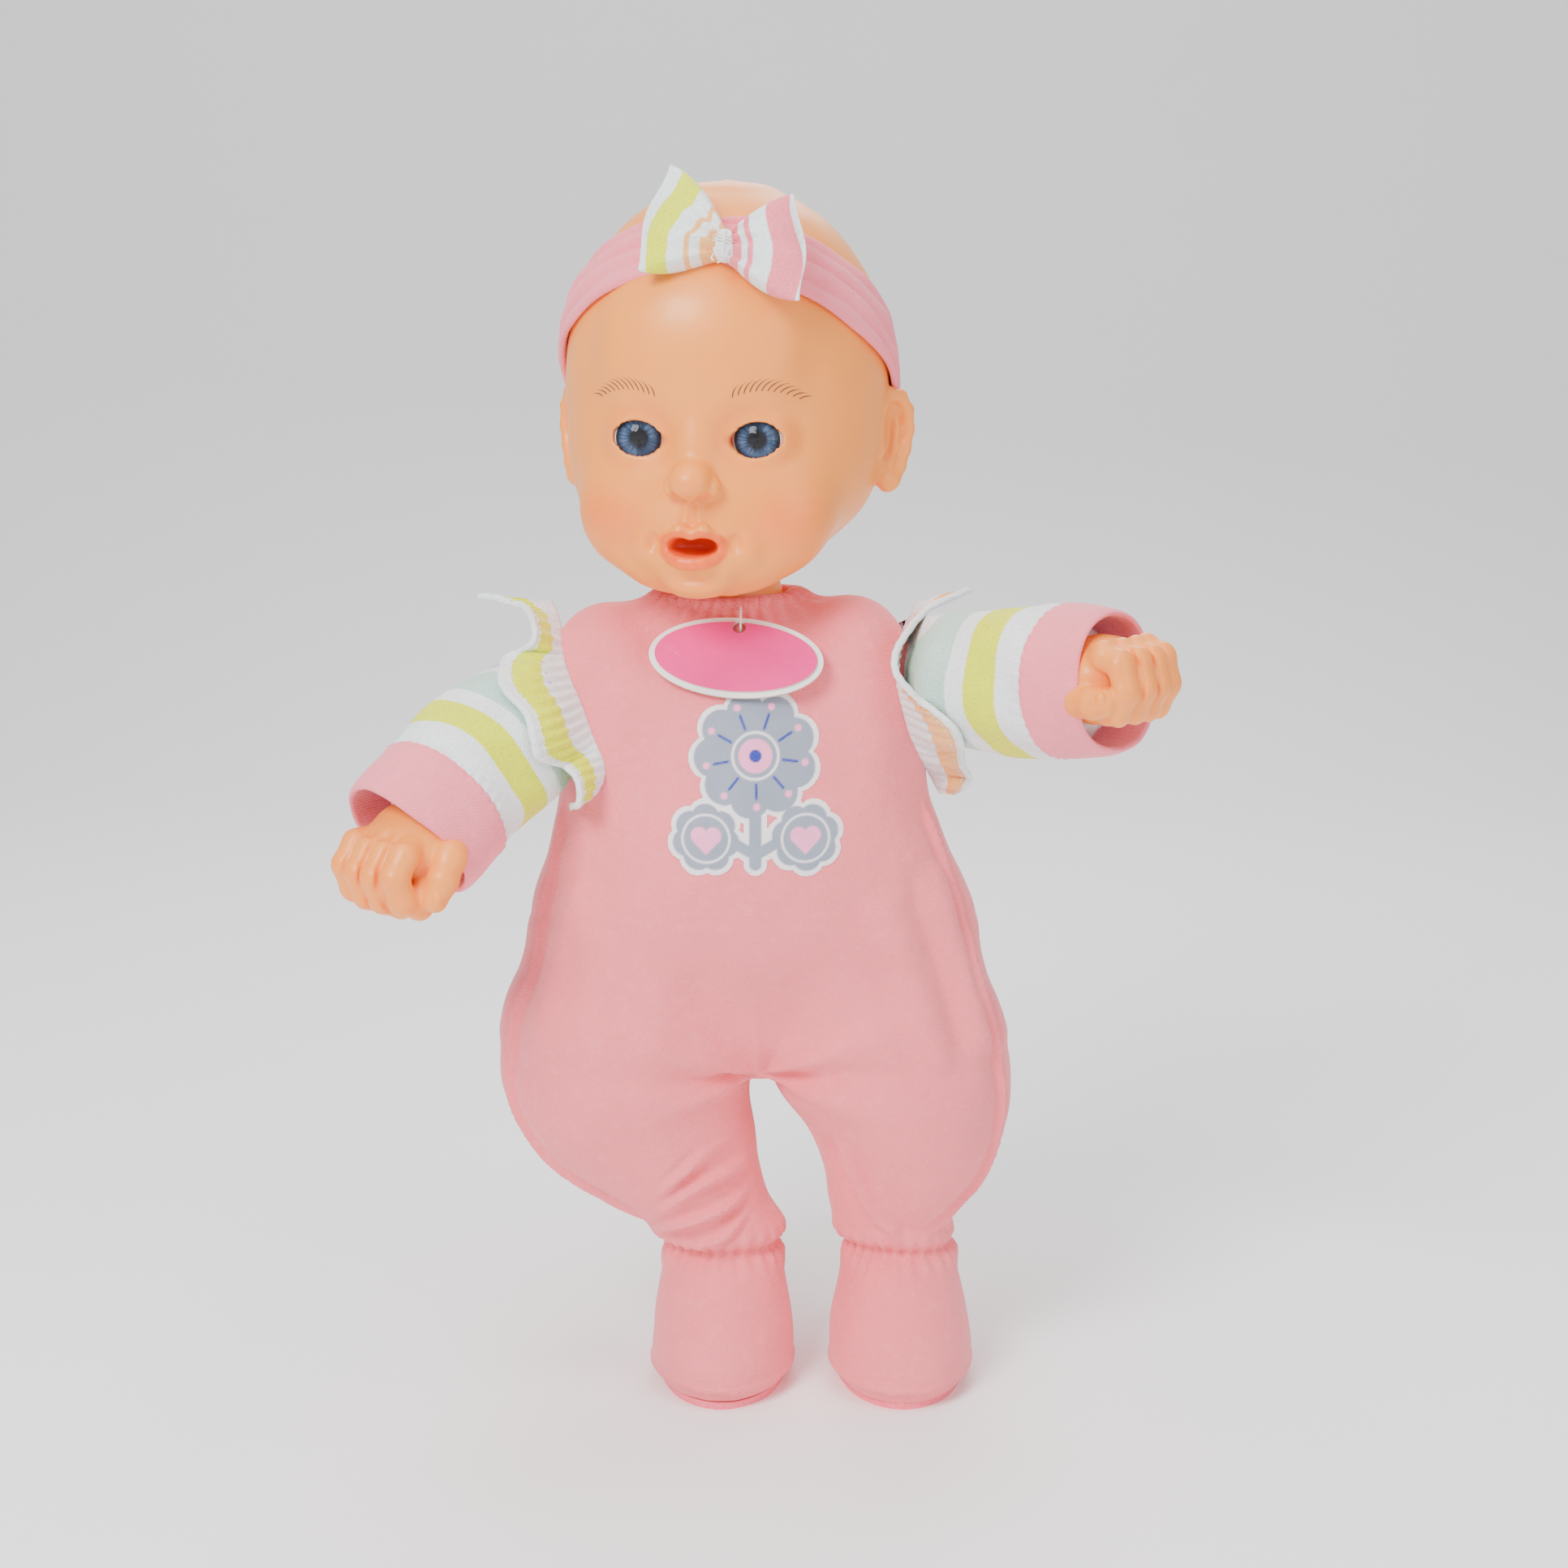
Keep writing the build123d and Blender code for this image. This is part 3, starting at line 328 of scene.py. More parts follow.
class Finish:
    """One procedural material, built node by node."""

    def __init__(self, name, rough=0.6, **sockets):
        self.material = bpy.data.materials.new(name)
        self.material.use_nodes = True
        self.tree = self.material.node_tree
        self.shader = self.tree.nodes["Principled BSDF"]
        self.shader.inputs["Roughness"].default_value = rough
        for socket, value in sockets.items():
            self.shader.inputs[socket.replace("_", " ")].default_value = value
        self.where = self.node("ShaderNodeTexCoord").outputs["Object"]
        self.height = None

    def node(self, kind, inputs=None, **settings):
        node = self.tree.nodes.new(kind)
        for key, value in settings.items():
            setattr(node, key, value)
        for key, value in (inputs or {}).items():
            if isinstance(value, bpy.types.NodeSocket):
                self.tree.links.new(value, node.inputs[key])
            else:
                node.inputs[key].default_value = value
        return node

    def math(self, operation, a, b=0.0, clamp=False):
        return self.node("ShaderNodeMath", {0: a, 1: b}, operation=operation, use_clamp=clamp).outputs[0]

    def mark(self, name):
        return self.node("ShaderNodeAttribute", attribute_name=name).outputs["Fac"]

    def noise(self, size, detail=2.0, where=None):
        """Noise whose features are about `size` millimetres."""
        inputs = {"Vector": where or self.where, "Scale": 1 / (size * MM), "Detail": detail}
        return self.node("ShaderNodeTexNoise", inputs).outputs["Fac"]

    def cells(self, size, where=None, feature="F1"):
        inputs = {"Vector": where or self.where, "Scale": 1 / (size * MM)}
        return self.node("ShaderNodeTexVoronoi", inputs, feature=feature).outputs["Distance"]

    def ribs(self, pitch, direction="X", where=None, wobble=1.0):
        inputs = {"Vector": where or self.where, "Scale": 0.314 / (pitch * MM),
                  "Distortion": wobble, "Detail": 1.0}
        return self.node("ShaderNodeTexWave", inputs, bands_direction=direction).outputs["Fac"]

    def ramp(self, fac, stops, how="LINEAR"):
        node = self.node("ShaderNodeValToRGB", {"Fac": fac})
        node.color_ramp.interpolation = how
        elements = node.color_ramp.elements
        while len(elements) < len(stops):
            elements.new(0.5)
        for element, (position, tint) in zip(elements, stops):
            element.position = position
            element.color = tint
        return node.outputs["Color"]

    def mix(self, fac, a, b, blend="MIX"):
        node = self.node("ShaderNodeMix", data_type="RGBA", blend_type=blend)
        for index, value in ((0, fac), (6, a), (7, b)):
            if isinstance(value, bpy.types.NodeSocket):
                self.tree.links.new(value, node.inputs[index])
            else:
                node.inputs[index].default_value = value
        return node.outputs[2]

    def band(self, fac, low, high):
        """0 below low and 1 above high."""
        inputs = {"Value": fac, "From Min": low, "From Max": high}
        return self.node("ShaderNodeMapRange", inputs, clamp=True).outputs[0]

    def shade(self, tint, amount, size, detail=3.0):
        """tint, varied darker and lighter by patches of about `size` millimetres."""
        low, high = 1 - amount, 1 + amount
        grey = self.ramp(self.noise(size, detail),
                         [(0.3, (low, low, low, 1)), (0.7, (high, high, high, 1))])
        return self.mix(1.0, tint, grey, "MULTIPLY")

    def paint(self, tint):
        if isinstance(tint, bpy.types.NodeSocket):
            self.tree.links.new(tint, self.shader.inputs["Base Color"])
        else:
            self.shader.inputs["Base Color"].default_value = tint
        return self

    def rough(self, fac, low, high):
        inputs = {"Value": fac, "To Min": low, "To Max": high}
        out = self.node("ShaderNodeMapRange", inputs).outputs[0]
        self.tree.links.new(out, self.shader.inputs["Roughness"])
        return self

    def bump(self, height, depth):
        """Relief of `depth` millimetres, on top of any before it."""
        inputs = {"Height": height, "Distance": depth * MM, "Strength": 1.0}
        if self.height is not None:
            inputs["Normal"] = self.height
        self.height = self.node("ShaderNodeBump", inputs).outputs["Normal"]
        for link in list(self.shader.inputs["Normal"].links):
            self.tree.links.remove(link)
        self.tree.links.new(self.height, self.shader.inputs["Normal"])
        return self


SKIN = colour(234, 168, 132)
BLUSH = colour(236, 142, 120)
LIP = colour(222, 126, 104)
MOUTH = colour(170, 84, 62)
PINK = colour(242, 154, 158)
CUFF_PINK = colour(246, 160, 168)
WHITE = colour(240, 243, 243)
LIME = colour(224, 230, 146)
MINT = colour(196, 214, 206)
LILAC = colour(208, 190, 222)
PEACH = colour(252, 198, 164)
ROSE = colour(250, 158, 166)


def skin_finish(name, face=False):
    f = Finish(name, 0.42, Subsurface_Weight=0.18, Subsurface_Scale=0.004, Coat_Weight=0.06)
    f.shader.inputs["Subsurface Radius"].default_value = (1.0, 0.45, 0.25)
    tint = f.shade(SKIN, 0.025, 14)
    if face:
        tint = f.mix(f.math("MULTIPLY", f.mark("blush"), 0.62), tint, BLUSH)
        tint = f.mix(f.mark("rim"), tint, colour(206, 112, 86))
        # painted shadow: a dark brown line along the edge of each upper lid, where the lid shades the eye
        tint = f.mix(f.mark("lid_shadow"), tint, colour(74, 44, 36))
        tint = f.mix(f.math("MULTIPLY", f.mark("lips"), 0.86), tint, f.shade(LIP, 0.05, 2.5))
        tint = f.mix(f.mark("mouth"), tint, MOUTH)
    else:
        tint = f.mix(f.math("MULTIPLY", f.mark("blush"), 0.45), tint, BLUSH)
    f.paint(tint)
    f.rough(f.noise(9, 3), 0.36, 0.50)
    f.bump(f.noise(0.5, 2), 0.02)
    f.bump(f.noise(6, 2), 0.10)
    return f.material


def knit(f, where=None, fine=0.62):
    """Relief of a fine jersey: courses of stitches with a little lint."""
    stitches = f.cells(fine, where)
    courses = f.ribs(fine * 1.1, "Z", where, 1.5)
    f.bump(f.math("ADD", f.math("MULTIPLY", courses, 0.4), stitches), 0.13)
    f.bump(f.noise(5, 3), 0.35)
    return stitches


def jersey_finish(name, tint, depth=0.10, fine=0.62):
    f = Finish(name, 0.88, Sheen_Weight=0.25, Sheen_Roughness=0.5)
    stitches = f.cells(fine)
    dark = tuple(0.80 * c for c in tint[:3]) + (1,)
    base = f.mix(f.band(stitches, 0.25, 0.75), tint, dark)
    base = f.mix(0.75, base, f.shade(tint, depth / 2, 18))
    worn = tuple(min(1, 1.08 * c + 0.02) for c in tint[:3]) + (1,)
    f.paint(f.mix(f.band(f.noise(3.2, 4), 0.55, 0.8), base, worn))
    knit(f, fine=fine)
    return f.material


def striped_finish(name, mark, stripes, length, edge=None):
    """Striped jersey. stripes are (width, tint) from 0 along the mark, which runs over `length`."""
    f = Finish(name, 0.86, Sheen_Weight=0.25, Sheen_Roughness=0.5)
    along = f.math("DIVIDE", f.mark(mark), length)
    wobble = f.math("MULTIPLY", f.math("SUBTRACT", f.noise(1.2, 2), 0.5), 0.5 / length)
    at, stops, soft = 0.0, [], 0.14 / length
    for width, tint in stripes:
        stops.append((min(1, at + soft), tint))
        at += width / length
        stops.append((min(1, at - soft), tint))
    tint = f.ramp(f.math("ADD", along, wobble), stops)
    stitches = f.cells(0.6)
    tint = f.mix(f.band(stitches, 0.3, 0.9), tint, f.mix(1.0, tint, (0.84, 0.84, 0.85, 1), "MULTIPLY"))
    f.paint(f.shade(tint, 0.04, 12))
    knit(f)
    return f.material


def plastic_finish(name, tint, rough=0.4, amount=0.05):
    f = Finish(name, rough)
    f.paint(f.shade(tint, amount, 8))
    f.rough(f.noise(2.5, 3), rough - 0.06, rough + 0.10)
    f.bump(f.noise(0.45, 2), 0.03)
    return f.material


def metal_finish(name, tint):
    f = Finish(name, 0.3, Metallic=1.0)
    f.paint(f.shade(tint, 0.10, 3))
    f.rough(f.noise(1.5, 4), 0.22, 0.46)
    f.bump(f.ribs(0.2, "X", wobble=3.0), 0.01)
    return f.material


def board_finish(name):
    f = Finish(name, 0.45)
    tracks = f.band(f.cells(2.4, feature="DISTANCE_TO_EDGE"), 0.10, 0.16)
    f.paint(f.mix(tracks, colour(150, 160, 70), colour(24, 92, 50)))
    f.bump(tracks, -0.05)
    return f.material


def paper_finish(name, tint, rough=0.55):
    f = Finish(name, rough)
    fibres = f.noise(0.7, 5)
    f.paint(f.mix(f.band(fibres, 0.35, 0.8), f.shade(tint, 0.03, 10),
                  tuple(0.93 * c for c in tint[:3]) + (1,)))
    f.rough(fibres, rough - 0.1, rough + 0.15)
    f.bump(fibres, 0.04)
    return f.material


def eye_coordinates(f, side):
    """Across and up the iris, from -1 to 1 at its rim."""
    centre = HEAD_PLACE @ Vector((SIDES[side] * EYE.x, EYE.y, EYE.z))
    turn = HEAD_PLACE.to_euler()
    r = IRIS_R * MM
    inputs = {"Vector": f.where, "Location": tuple(c * MM for c in centre),
              "Rotation": tuple(turn), "Scale": (r, r, r)}
    local = f.node("ShaderNodeMapping", inputs, vector_type="TEXTURE").outputs[0]
    split = f.node("ShaderNodeSeparateXYZ", {0: local}).outputs
    return split["X"], split["Z"]


def iris_finish(side):
    f = Finish("iris_" + side, 0.45)
    x, z = eye_coordinates(f, side)
    radius = f.math("SQRT", f.math("ADD", f.math("MULTIPLY", x, x), f.math("MULTIPLY", z, z)))
    angle = f.math("ARCTAN2", z, x)
    across = f.node("ShaderNodeCombineXYZ", {0: f.math("COSINE", angle), 1: f.math("SINE", angle),
                                             2: f.math("MULTIPLY", radius, 0.16)}).outputs[0]
    flecks = f.node("ShaderNodeTexNoise", {"Vector": across, "Scale": 9.0, "Detail": 4.0}).outputs["Fac"]
    tint = f.ramp(radius, [
        (0.0, colour(3, 4, 6)), (0.36, colour(4, 5, 8)), (0.41, colour(30, 38, 54)),
        (0.52, colour(60, 74, 98)), (0.68, colour(88, 106, 134)), (0.80, colour(62, 76, 104)),
        (0.90, colour(16, 20, 32)), (0.96, colour(4, 5, 9)),
    ])
    light = f.math("MULTIPLY", f.band(flecks, 0.5, 0.75), f.band(radius, 0.40, 0.55))
    light = f.math("MULTIPLY", light, f.math("SUBTRACT", 1.0, f.band(radius, 0.74, 0.92)))
    tint = f.mix(light, tint, colour(132, 150, 176))
    dark = f.math("MULTIPLY", f.band(flecks, 0.48, 0.30), f.band(radius, 0.40, 0.5))
    tint = f.mix(f.math("MULTIPLY", dark, 0.7), tint, colour(14, 18, 30))
    # painted shadow of the upper lid: the iris darkens to near black towards its top
    f.paint(f.mix(f.math("MULTIPLY", f.band(z, 0.45, 0.9), 0.8), tint, colour(5, 6, 9)))
    f.bump(flecks, 0.05)
    return f.material


def white_finish():
    f = Finish("eye_white", 0.22, Coat_Weight=0.5)
    veins = f.band(f.cells(2.2, feature="DISTANCE_TO_EDGE"), 0.05, 0.0)
    f.paint(f.mix(f.math("MULTIPLY", veins, 0.12), f.shade(colour(236, 232, 228), 0.03, 4),
                  colour(220, 140, 130)))
    f.bump(f.noise(1.0, 2), 0.01)
    return f.material


def cornea_finish():
    f = Finish("cornea", 0.03, Alpha=0.16, IOR=1.45, Coat_Weight=1.0)
    f.paint(f.shade(colour(14, 16, 24), 0.2, 3))
    f.bump(f.noise(3.0, 1), 0.004)
    return f.material


# --- Head ---

HEAD_VOXEL = 0.6
LIP_LINE_Z = 18.2
EAR_Z = 44.4


def head_rows(grow=0.0):
    rows = []
    for height, width, front, back in HEAD_ROWS:
        z = CHIN_LIFT + HEAD_HEIGHT * height
        rows.append((z, HEAD_HALF_WIDTH * width + grow, -HEAD_HALF_DEPTH * front - grow,
                     HEAD_HALF_DEPTH * back + grow, 0.0))
    top = CHIN_LIFT + HEAD_HEIGHT
    rows[0] = (rows[0][0] - grow,) + rows[0][1:]
    rows.append((top + grow, 0.1, -2.1, 2.9, 0.0))
    return rows


def sculpt_eyes(clay):
    """Soft sockets, then lids that hug each eyeball, with an almond opening."""
    for s in (-1, 1):
        x, y, z = s * EYE.x, EYE.y, EYE.z
        clay.ball((x, -51.8, z + 0.5), (11.5, 6.4, 8.5), 5.0, cut=True)
        clay.ball((x, y + 0.1, z), EYE_R + 1.35, 2.2)
        crease = [(x - s * 7.4, -46.8, z + 4.2), (x - s * 4.2, -47.8, z + 7.6), (x, -47.9, z + 8.5),
                  (x + s * 4.4, -46.6, z + 7.7), (x + s * 8.0, -43.6, z + 4.6)]
        clay.chain(crease, [0.1, 0.35, 0.45, 0.35, 0.1], 1.3, 0.8, cut=True)
        for part in range(9):
            u = (part - 4) / 4.5
            half = 4.75 * (1 - abs(u) ** 2.2) ** 0.55 + 0.3
            tilt = 0.35 * u * s
            clay.rod((x + 6.6 * u, y, z + tilt), (x + 7.1 * u, -62, z + tilt), 0.9, 0.9, 0.2, cut=True)
            reach = max(half - 0.9, 0.1)
            clay.ball((x + 6.2 * u, -49, z + tilt), (1.5, 14, reach + 0.9), 0.5, cut=True)
        clay.ball((x, y, z), EYE_R + 0.12, 0.2, cut=True)


def sculpt_nose(clay):
    clay.ball((0, -46.4, 43.0), (3.6, 4.0, 8.0), 6.0)
    clay.ball((0, -51.8, 36.2), (5.6, 5.0, 4.8), 2.4)
    clay.ball((0, -54.6, 35.4), (5.4, 4.6, 4.6), 1.8)
    for s in (-1, 1):
        clay.ball((s * 5.0, -51.0, 34.0), (2.7, 3.4, 3.0), 1.0, (0, 0, s * 16))
    for s in (-1, 1):
        clay.ball((s * 3.5, -54.0, 31.6), (1.5, 2.6, 1.15), 0.6, (24, s * 16, 0), cut=True)
    clay.ball((0, -52.5, 31.0), (0.9, 2.6, 1.3), 1.0)


def sculpt_mouth(clay):
    z = LIP_LINE_Z
    clay.ball((0, -45.2, z + 0.5), (13.0, 5.0, 9.5), 6.0)
    clay.chain([(-1.4, -50.4, z + 11.2), (-1.7, -50.6, z + 6.6)], [0.7, 0.8], 1.6)
    clay.chain([(1.4, -50.4, z + 11.2), (1.7, -50.6, z + 6.6)], [0.7, 0.8], 1.6)
    clay.rod((0, -52.0, z + 10.5), (0, -52.2, z + 6.0), 1.0, 1.3, 1.6, cut=True)
    upper = [(-9.6, -47.0, z + 0.3), (-6.4, -50.0, z + 2.1), (-3.1, -52.0, z + 4.2), (0, -52.0, z + 3.1)]
    lower = [(-8.0, -47.4, z - 0.3), (-5.6, -49.6, z - 3.0), (-2.9, -51.0, z - 4.3), (0, -51.3, z - 4.6)]
    for s in (1, -1):
        clay.chain([(s * x, y, h) for x, y, h in upper], [0.8, 1.4, 1.9, 1.5], 1.2, 1.0)
        clay.chain([(s * x, y, h) for x, y, h in lower], [0.9, 1.6, 2.1, 2.2], 1.6, 1.0)
    clay.ball((0, -52.2, z + 2.4), (1.9, 1.4, 1.2), 0.9)
    clay.ball((0, -50.0, z - 0.5), (6.7, 5.6, 2.3), 0.9, cut=True)
    clay.ball((-2.9, -50.4, z + 0.7), (3.2, 4.6, 1.5), 1.2, cut=True)
    clay.ball((2.9, -50.4, z + 0.7), (3.2, 4.6, 1.5), 1.2, cut=True)
    clay.ball((0, -50.5, z - 9.0), (7.0, 2.4, 1.4), 3.0, cut=True)
    for s in (-1, 1):
        clay.ball((s * 11.4, -48.6, z + 0.6), (1.7, 2.0, 2.0), 3.0, cut=True)
        clay.ball((s * 14.3, -43.6, z + 0.2), (2.8, 3.2, 5.0), 3.0)


def sculpt_ear(clay, s):
    """An ear with a rolled rim, a fold inside it, a bowl and a lobe."""
    inset = 2.2 if s > 0 else 4.4

    def at(back, up, out):
        turn = math.radians(24)
        return (s * (HEAD_HALF_WIDTH - inset + out * math.cos(turn) + back * math.sin(turn)),
                3.0 + back * math.cos(turn) - out * math.sin(turn), EAR_Z + up)
    clay.ball(at(1.5, 1.0, 1.8), (3.0, 8.0, 12.5), 2.5, (0, 0, s * -24))
    rim = [(-5.2, -1.0), (-6.2, 4.0), (-4.4, 9.6), (0.0, 12.6), (4.6, 11.8), (7.6, 8.0), (8.0, 2.5),
           (6.6, -3.0), (4.4, -7.6), (1.6, -11.4)]
    points = [at(b, u, 4.0 + 0.20 * max(b, 0)) for b, u in rim]
    clay.ball(at(1.4, 1.5, 5.6), (3.2, 5.4, 9.0), 1.2, (0, 0, s * -24), cut=True)
    clay.chain(points, [1.5, 1.6, 1.8, 1.9, 1.9, 1.8, 1.8, 1.8, 2.0, 2.4], 1.2, 1.0)
    fold = [at(4.2, 8.0, 3.4), at(4.6, 3.0, 3.5), at(3.8, -2.5, 3.6), at(1.0, -6.4, 3.8)]
    clay.chain(fold, [1.1, 1.3, 1.4, 1.5], 1.0, 1.0)
    clay.ball(at(-4.6, -2.6, 4.0), (1.6, 1.9, 2.6), 1.0)
    clay.ball(at(0.6, -11.0, 3.4), (2.6, 3.8, 3.8), 1.6, (0, 0, s * -24))
    clay.ball(at(-0.8, -1.6, 4.4), (2.4, 2.7, 3.6), 1.0, cut=True)


def sculpt_head():
    clay = Clay((-53, -60, -3), (53, 60, 121), HEAD_VOXEL)
    clay.stack(head_rows())
    for s in (-1, 1):
        clay.ball((s * 19.5, -31.5, 24.5), (13.8, 13.2, 14.0), 9.0)
        clay.ball((s * 11.0, -36.0, 14.0), (9.5, 8.5, 7.5), 6.0)
        sculpt_ear(clay, s)
    clay.ball((0, -43.6, 8.2), (8.5, 5.0, 4.6), 4.0)
    clay.ball((0, -38.6, 70.0), (24, 11.5, 20), 10.0)
    sculpt_eyes(clay)
    sculpt_nose(clay)
    sculpt_mouth(clay)
    clay.ball((0, 0, 0), NECK_ROOM_R, 2.5, cut=True)
    return clay.surface(3)


def face_marks(p):
    """Where the face is painted, from 0 to 1 at each point."""
    x, y, z = p[:, 0], p[:, 1], p[:, 2]
    ax = np.abs(x)
    front = smoothstep(-25, -38, y)
    blush = 0.95 * np.exp(-((ax - 24.5) / 10.5) ** 2 - ((z - 24.5) / 9.0) ** 2)
    blush += 0.32 * np.exp(-(x / 5.5) ** 2 - ((z - 34.5) / 4.5) ** 2)
    blush += 0.30 * np.exp(-(x / 10.0) ** 2 - ((z - 6.0) / 4.0) ** 2)
    eye = np.sqrt(((ax - EYE.x) / 10.5) ** 2 + ((z - EYE.z) / 8.2) ** 2)
    blush += 0.34 * bell(eye, 0.88, 0.22)
    dz = z - LIP_LINE_Z
    half = np.clip(1 - (ax / 10.0) ** 2.0, 0, 1) ** 0.6
    top = 0.6 + (4.0 - 0.9 * np.exp(-(x / 1.5) ** 2)) * half
    bottom = -0.5 - 5.8 * half
    inside = smoothstep(-0.35, 0.35, top - dz) * smoothstep(-0.35, 0.35, dz - bottom)
    lips = inside * smoothstep(9.8, 8.4, ax) * smoothstep(-44.0, -46.0, y)
    mouth = smoothstep(-49.3, -46.4, y) * (ax < 7.4) * (np.abs(dz + 0.2) < 3.9) * front
    from_eye = np.sqrt((ax - EYE.x) ** 2 + (y - EYE.y) ** 2 + (z - EYE.z) ** 2)
    rim = smoothstep(EYE_R + 1.15, EYE_R + 0.35, from_eye) * (y < EYE.y + 2)
    corner = smoothstep(1.8, 0.4, np.hypot(ax - EYE.x + 7.3, z - EYE.z)) * 0.5
    # painted shadow along the upper lid's edge, over the top of each eyeball
    lid_shadow = smoothstep(EYE_R + 1.3, EYE_R + 0.7, from_eye) * (y < EYE.y) * smoothstep(0.5, 3.2, z - EYE.z)
    return {"blush": np.clip(blush, 0, 1) * front, "lips": lips, "mouth": np.clip(mouth, 0, 1),
            "rim": np.clip(rim * 0.7 + corner * front, 0, 1), "lid_shadow": lid_shadow * 0.85}


def make_head():
    points, quads = sculpt_head()
    skin = skin_finish("vinyl_face", face=True)
    head = new_piece("doll_head", moved(points, HEAD_PLACE), quads, skin, face_marks(points))
    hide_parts("head_shell")
    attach(head, "head")
    return BVHTree.FromPolygons(points.tolist(), quads.tolist())


def tube_mesh(paths, sides=6, taper=None):
    """Thin tubes along paths of points. taper(path number, share along) is the radius."""
    points, faces = [], []
    for number, path in enumerate(paths):
        path = np.asarray(path, float)
        along = np.gradient(path, axis=0)
        along /= np.maximum(np.linalg.norm(along, axis=1, keepdims=True), 1e-9)
        spare = np.array([0.3, 0.2, 1.0]) if abs(along[0][2]) < 0.8 else np.array([1.0, 0.2, 0.1])
        start = len(points)
        for i, (p, t) in enumerate(zip(path, along)):
            u = np.cross(t, spare)
            u /= np.linalg.norm(u)
            v = np.cross(t, u)
            r = taper(number, i / (len(path) - 1))
            for k in range(sides):
                a = 2 * math.pi * k / sides
                points.append(p + r * (math.cos(a) * u + math.sin(a) * v))
        faces += net_faces(len(path), sides, wrap_columns=True, start=start)
        faces.append(tuple(start + k for k in range(sides)))
        faces.append(tuple(start + (len(path) - 1) * sides + k for k in reversed(range(sides))))
    return np.array(points), faces


def make_brows(tree):
    """Painted hair strokes, very low relief, laid on the sculpted brow."""
    paths = []
    for s in (-1, 1):
        for i in range(12):
            u = i / 11
            x = 10.4 + 16.2 * u
            z = 56.4 + 3.0 * math.sin(math.pi * (0.10 + 0.72 * u)) - 1.2 * u * u
            lean = math.radians(88 - 50 * u)
            length = 3.4 + 1.6 * math.sin(math.pi * min(1, u + 0.12))
            stroke = []
            for k in range(7):
                t = k / 6
                sx = x + length * t * math.cos(lean - 0.4 * t)
                sz = z + length * t * math.sin(lean - 0.4 * t) - 0.3 * t * t
                hit, _, _, _ = tree.ray_cast(Vector((s * sx, -80, sz)), Vector((0, 1, 0)))
                if hit is not None:
                    stroke.append(tuple(hit))
            if len(stroke) > 3:
                paths.append(stroke)
    points, faces = tube_mesh(paths, 6,
                              lambda n, t: 0.05 + 0.13 * math.sin(math.pi * min(1, t + 0.2)) ** 0.7)
    f = Finish("brow_paint", 0.5)
    f.paint(f.shade(colour(96, 72, 58), 0.12, 1.5))
    f.bump(f.noise(0.4, 2), 0.02)
    brows = new_piece("brow_strokes", moved(points, HEAD_PLACE), faces, f.material)
    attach(brows, "head")


def cad_finish(material, *nodes):
    for name in nodes:
        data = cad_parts[name].data
        data.materials.clear()
        data.materials.append(material)


def head_copy(node, name, material):
    """A CAD piece of the head, standing in the sculpted head's place."""
    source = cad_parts[node]
    shift = HEAD_PLACE @ CAD_HEAD.inverted()
    points = [shift @ (source.matrix_world @ v.co / MM) for v in source.data.vertices]
    copy = new_piece(name, points, [tuple(f.vertices) for f in source.data.polygons], material)
    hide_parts(node)
    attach(copy, "head")


def make_eyes():
    white, clear = white_finish(), cornea_finish()
    for side in SIDES:
        head_copy("eye_white_" + side, "eyeball_" + side, white)
        head_copy("cornea_" + side, "eye_lens_" + side, clear)
        head_copy("iris_" + side, "iris_disc_" + side, iris_finish(side))


# --- Hands ---

FIST_SCALE = 0.88
FIST_MIDDLE = np.array([0, 0, 80.0])
FIST_SHIFT = {"right": Vector((-2.5, 0, -2.0)), "left": Vector((4.0, 0, 1.2))}
FIST_DEPTH = {"right": 0.95, "left": 0.80}


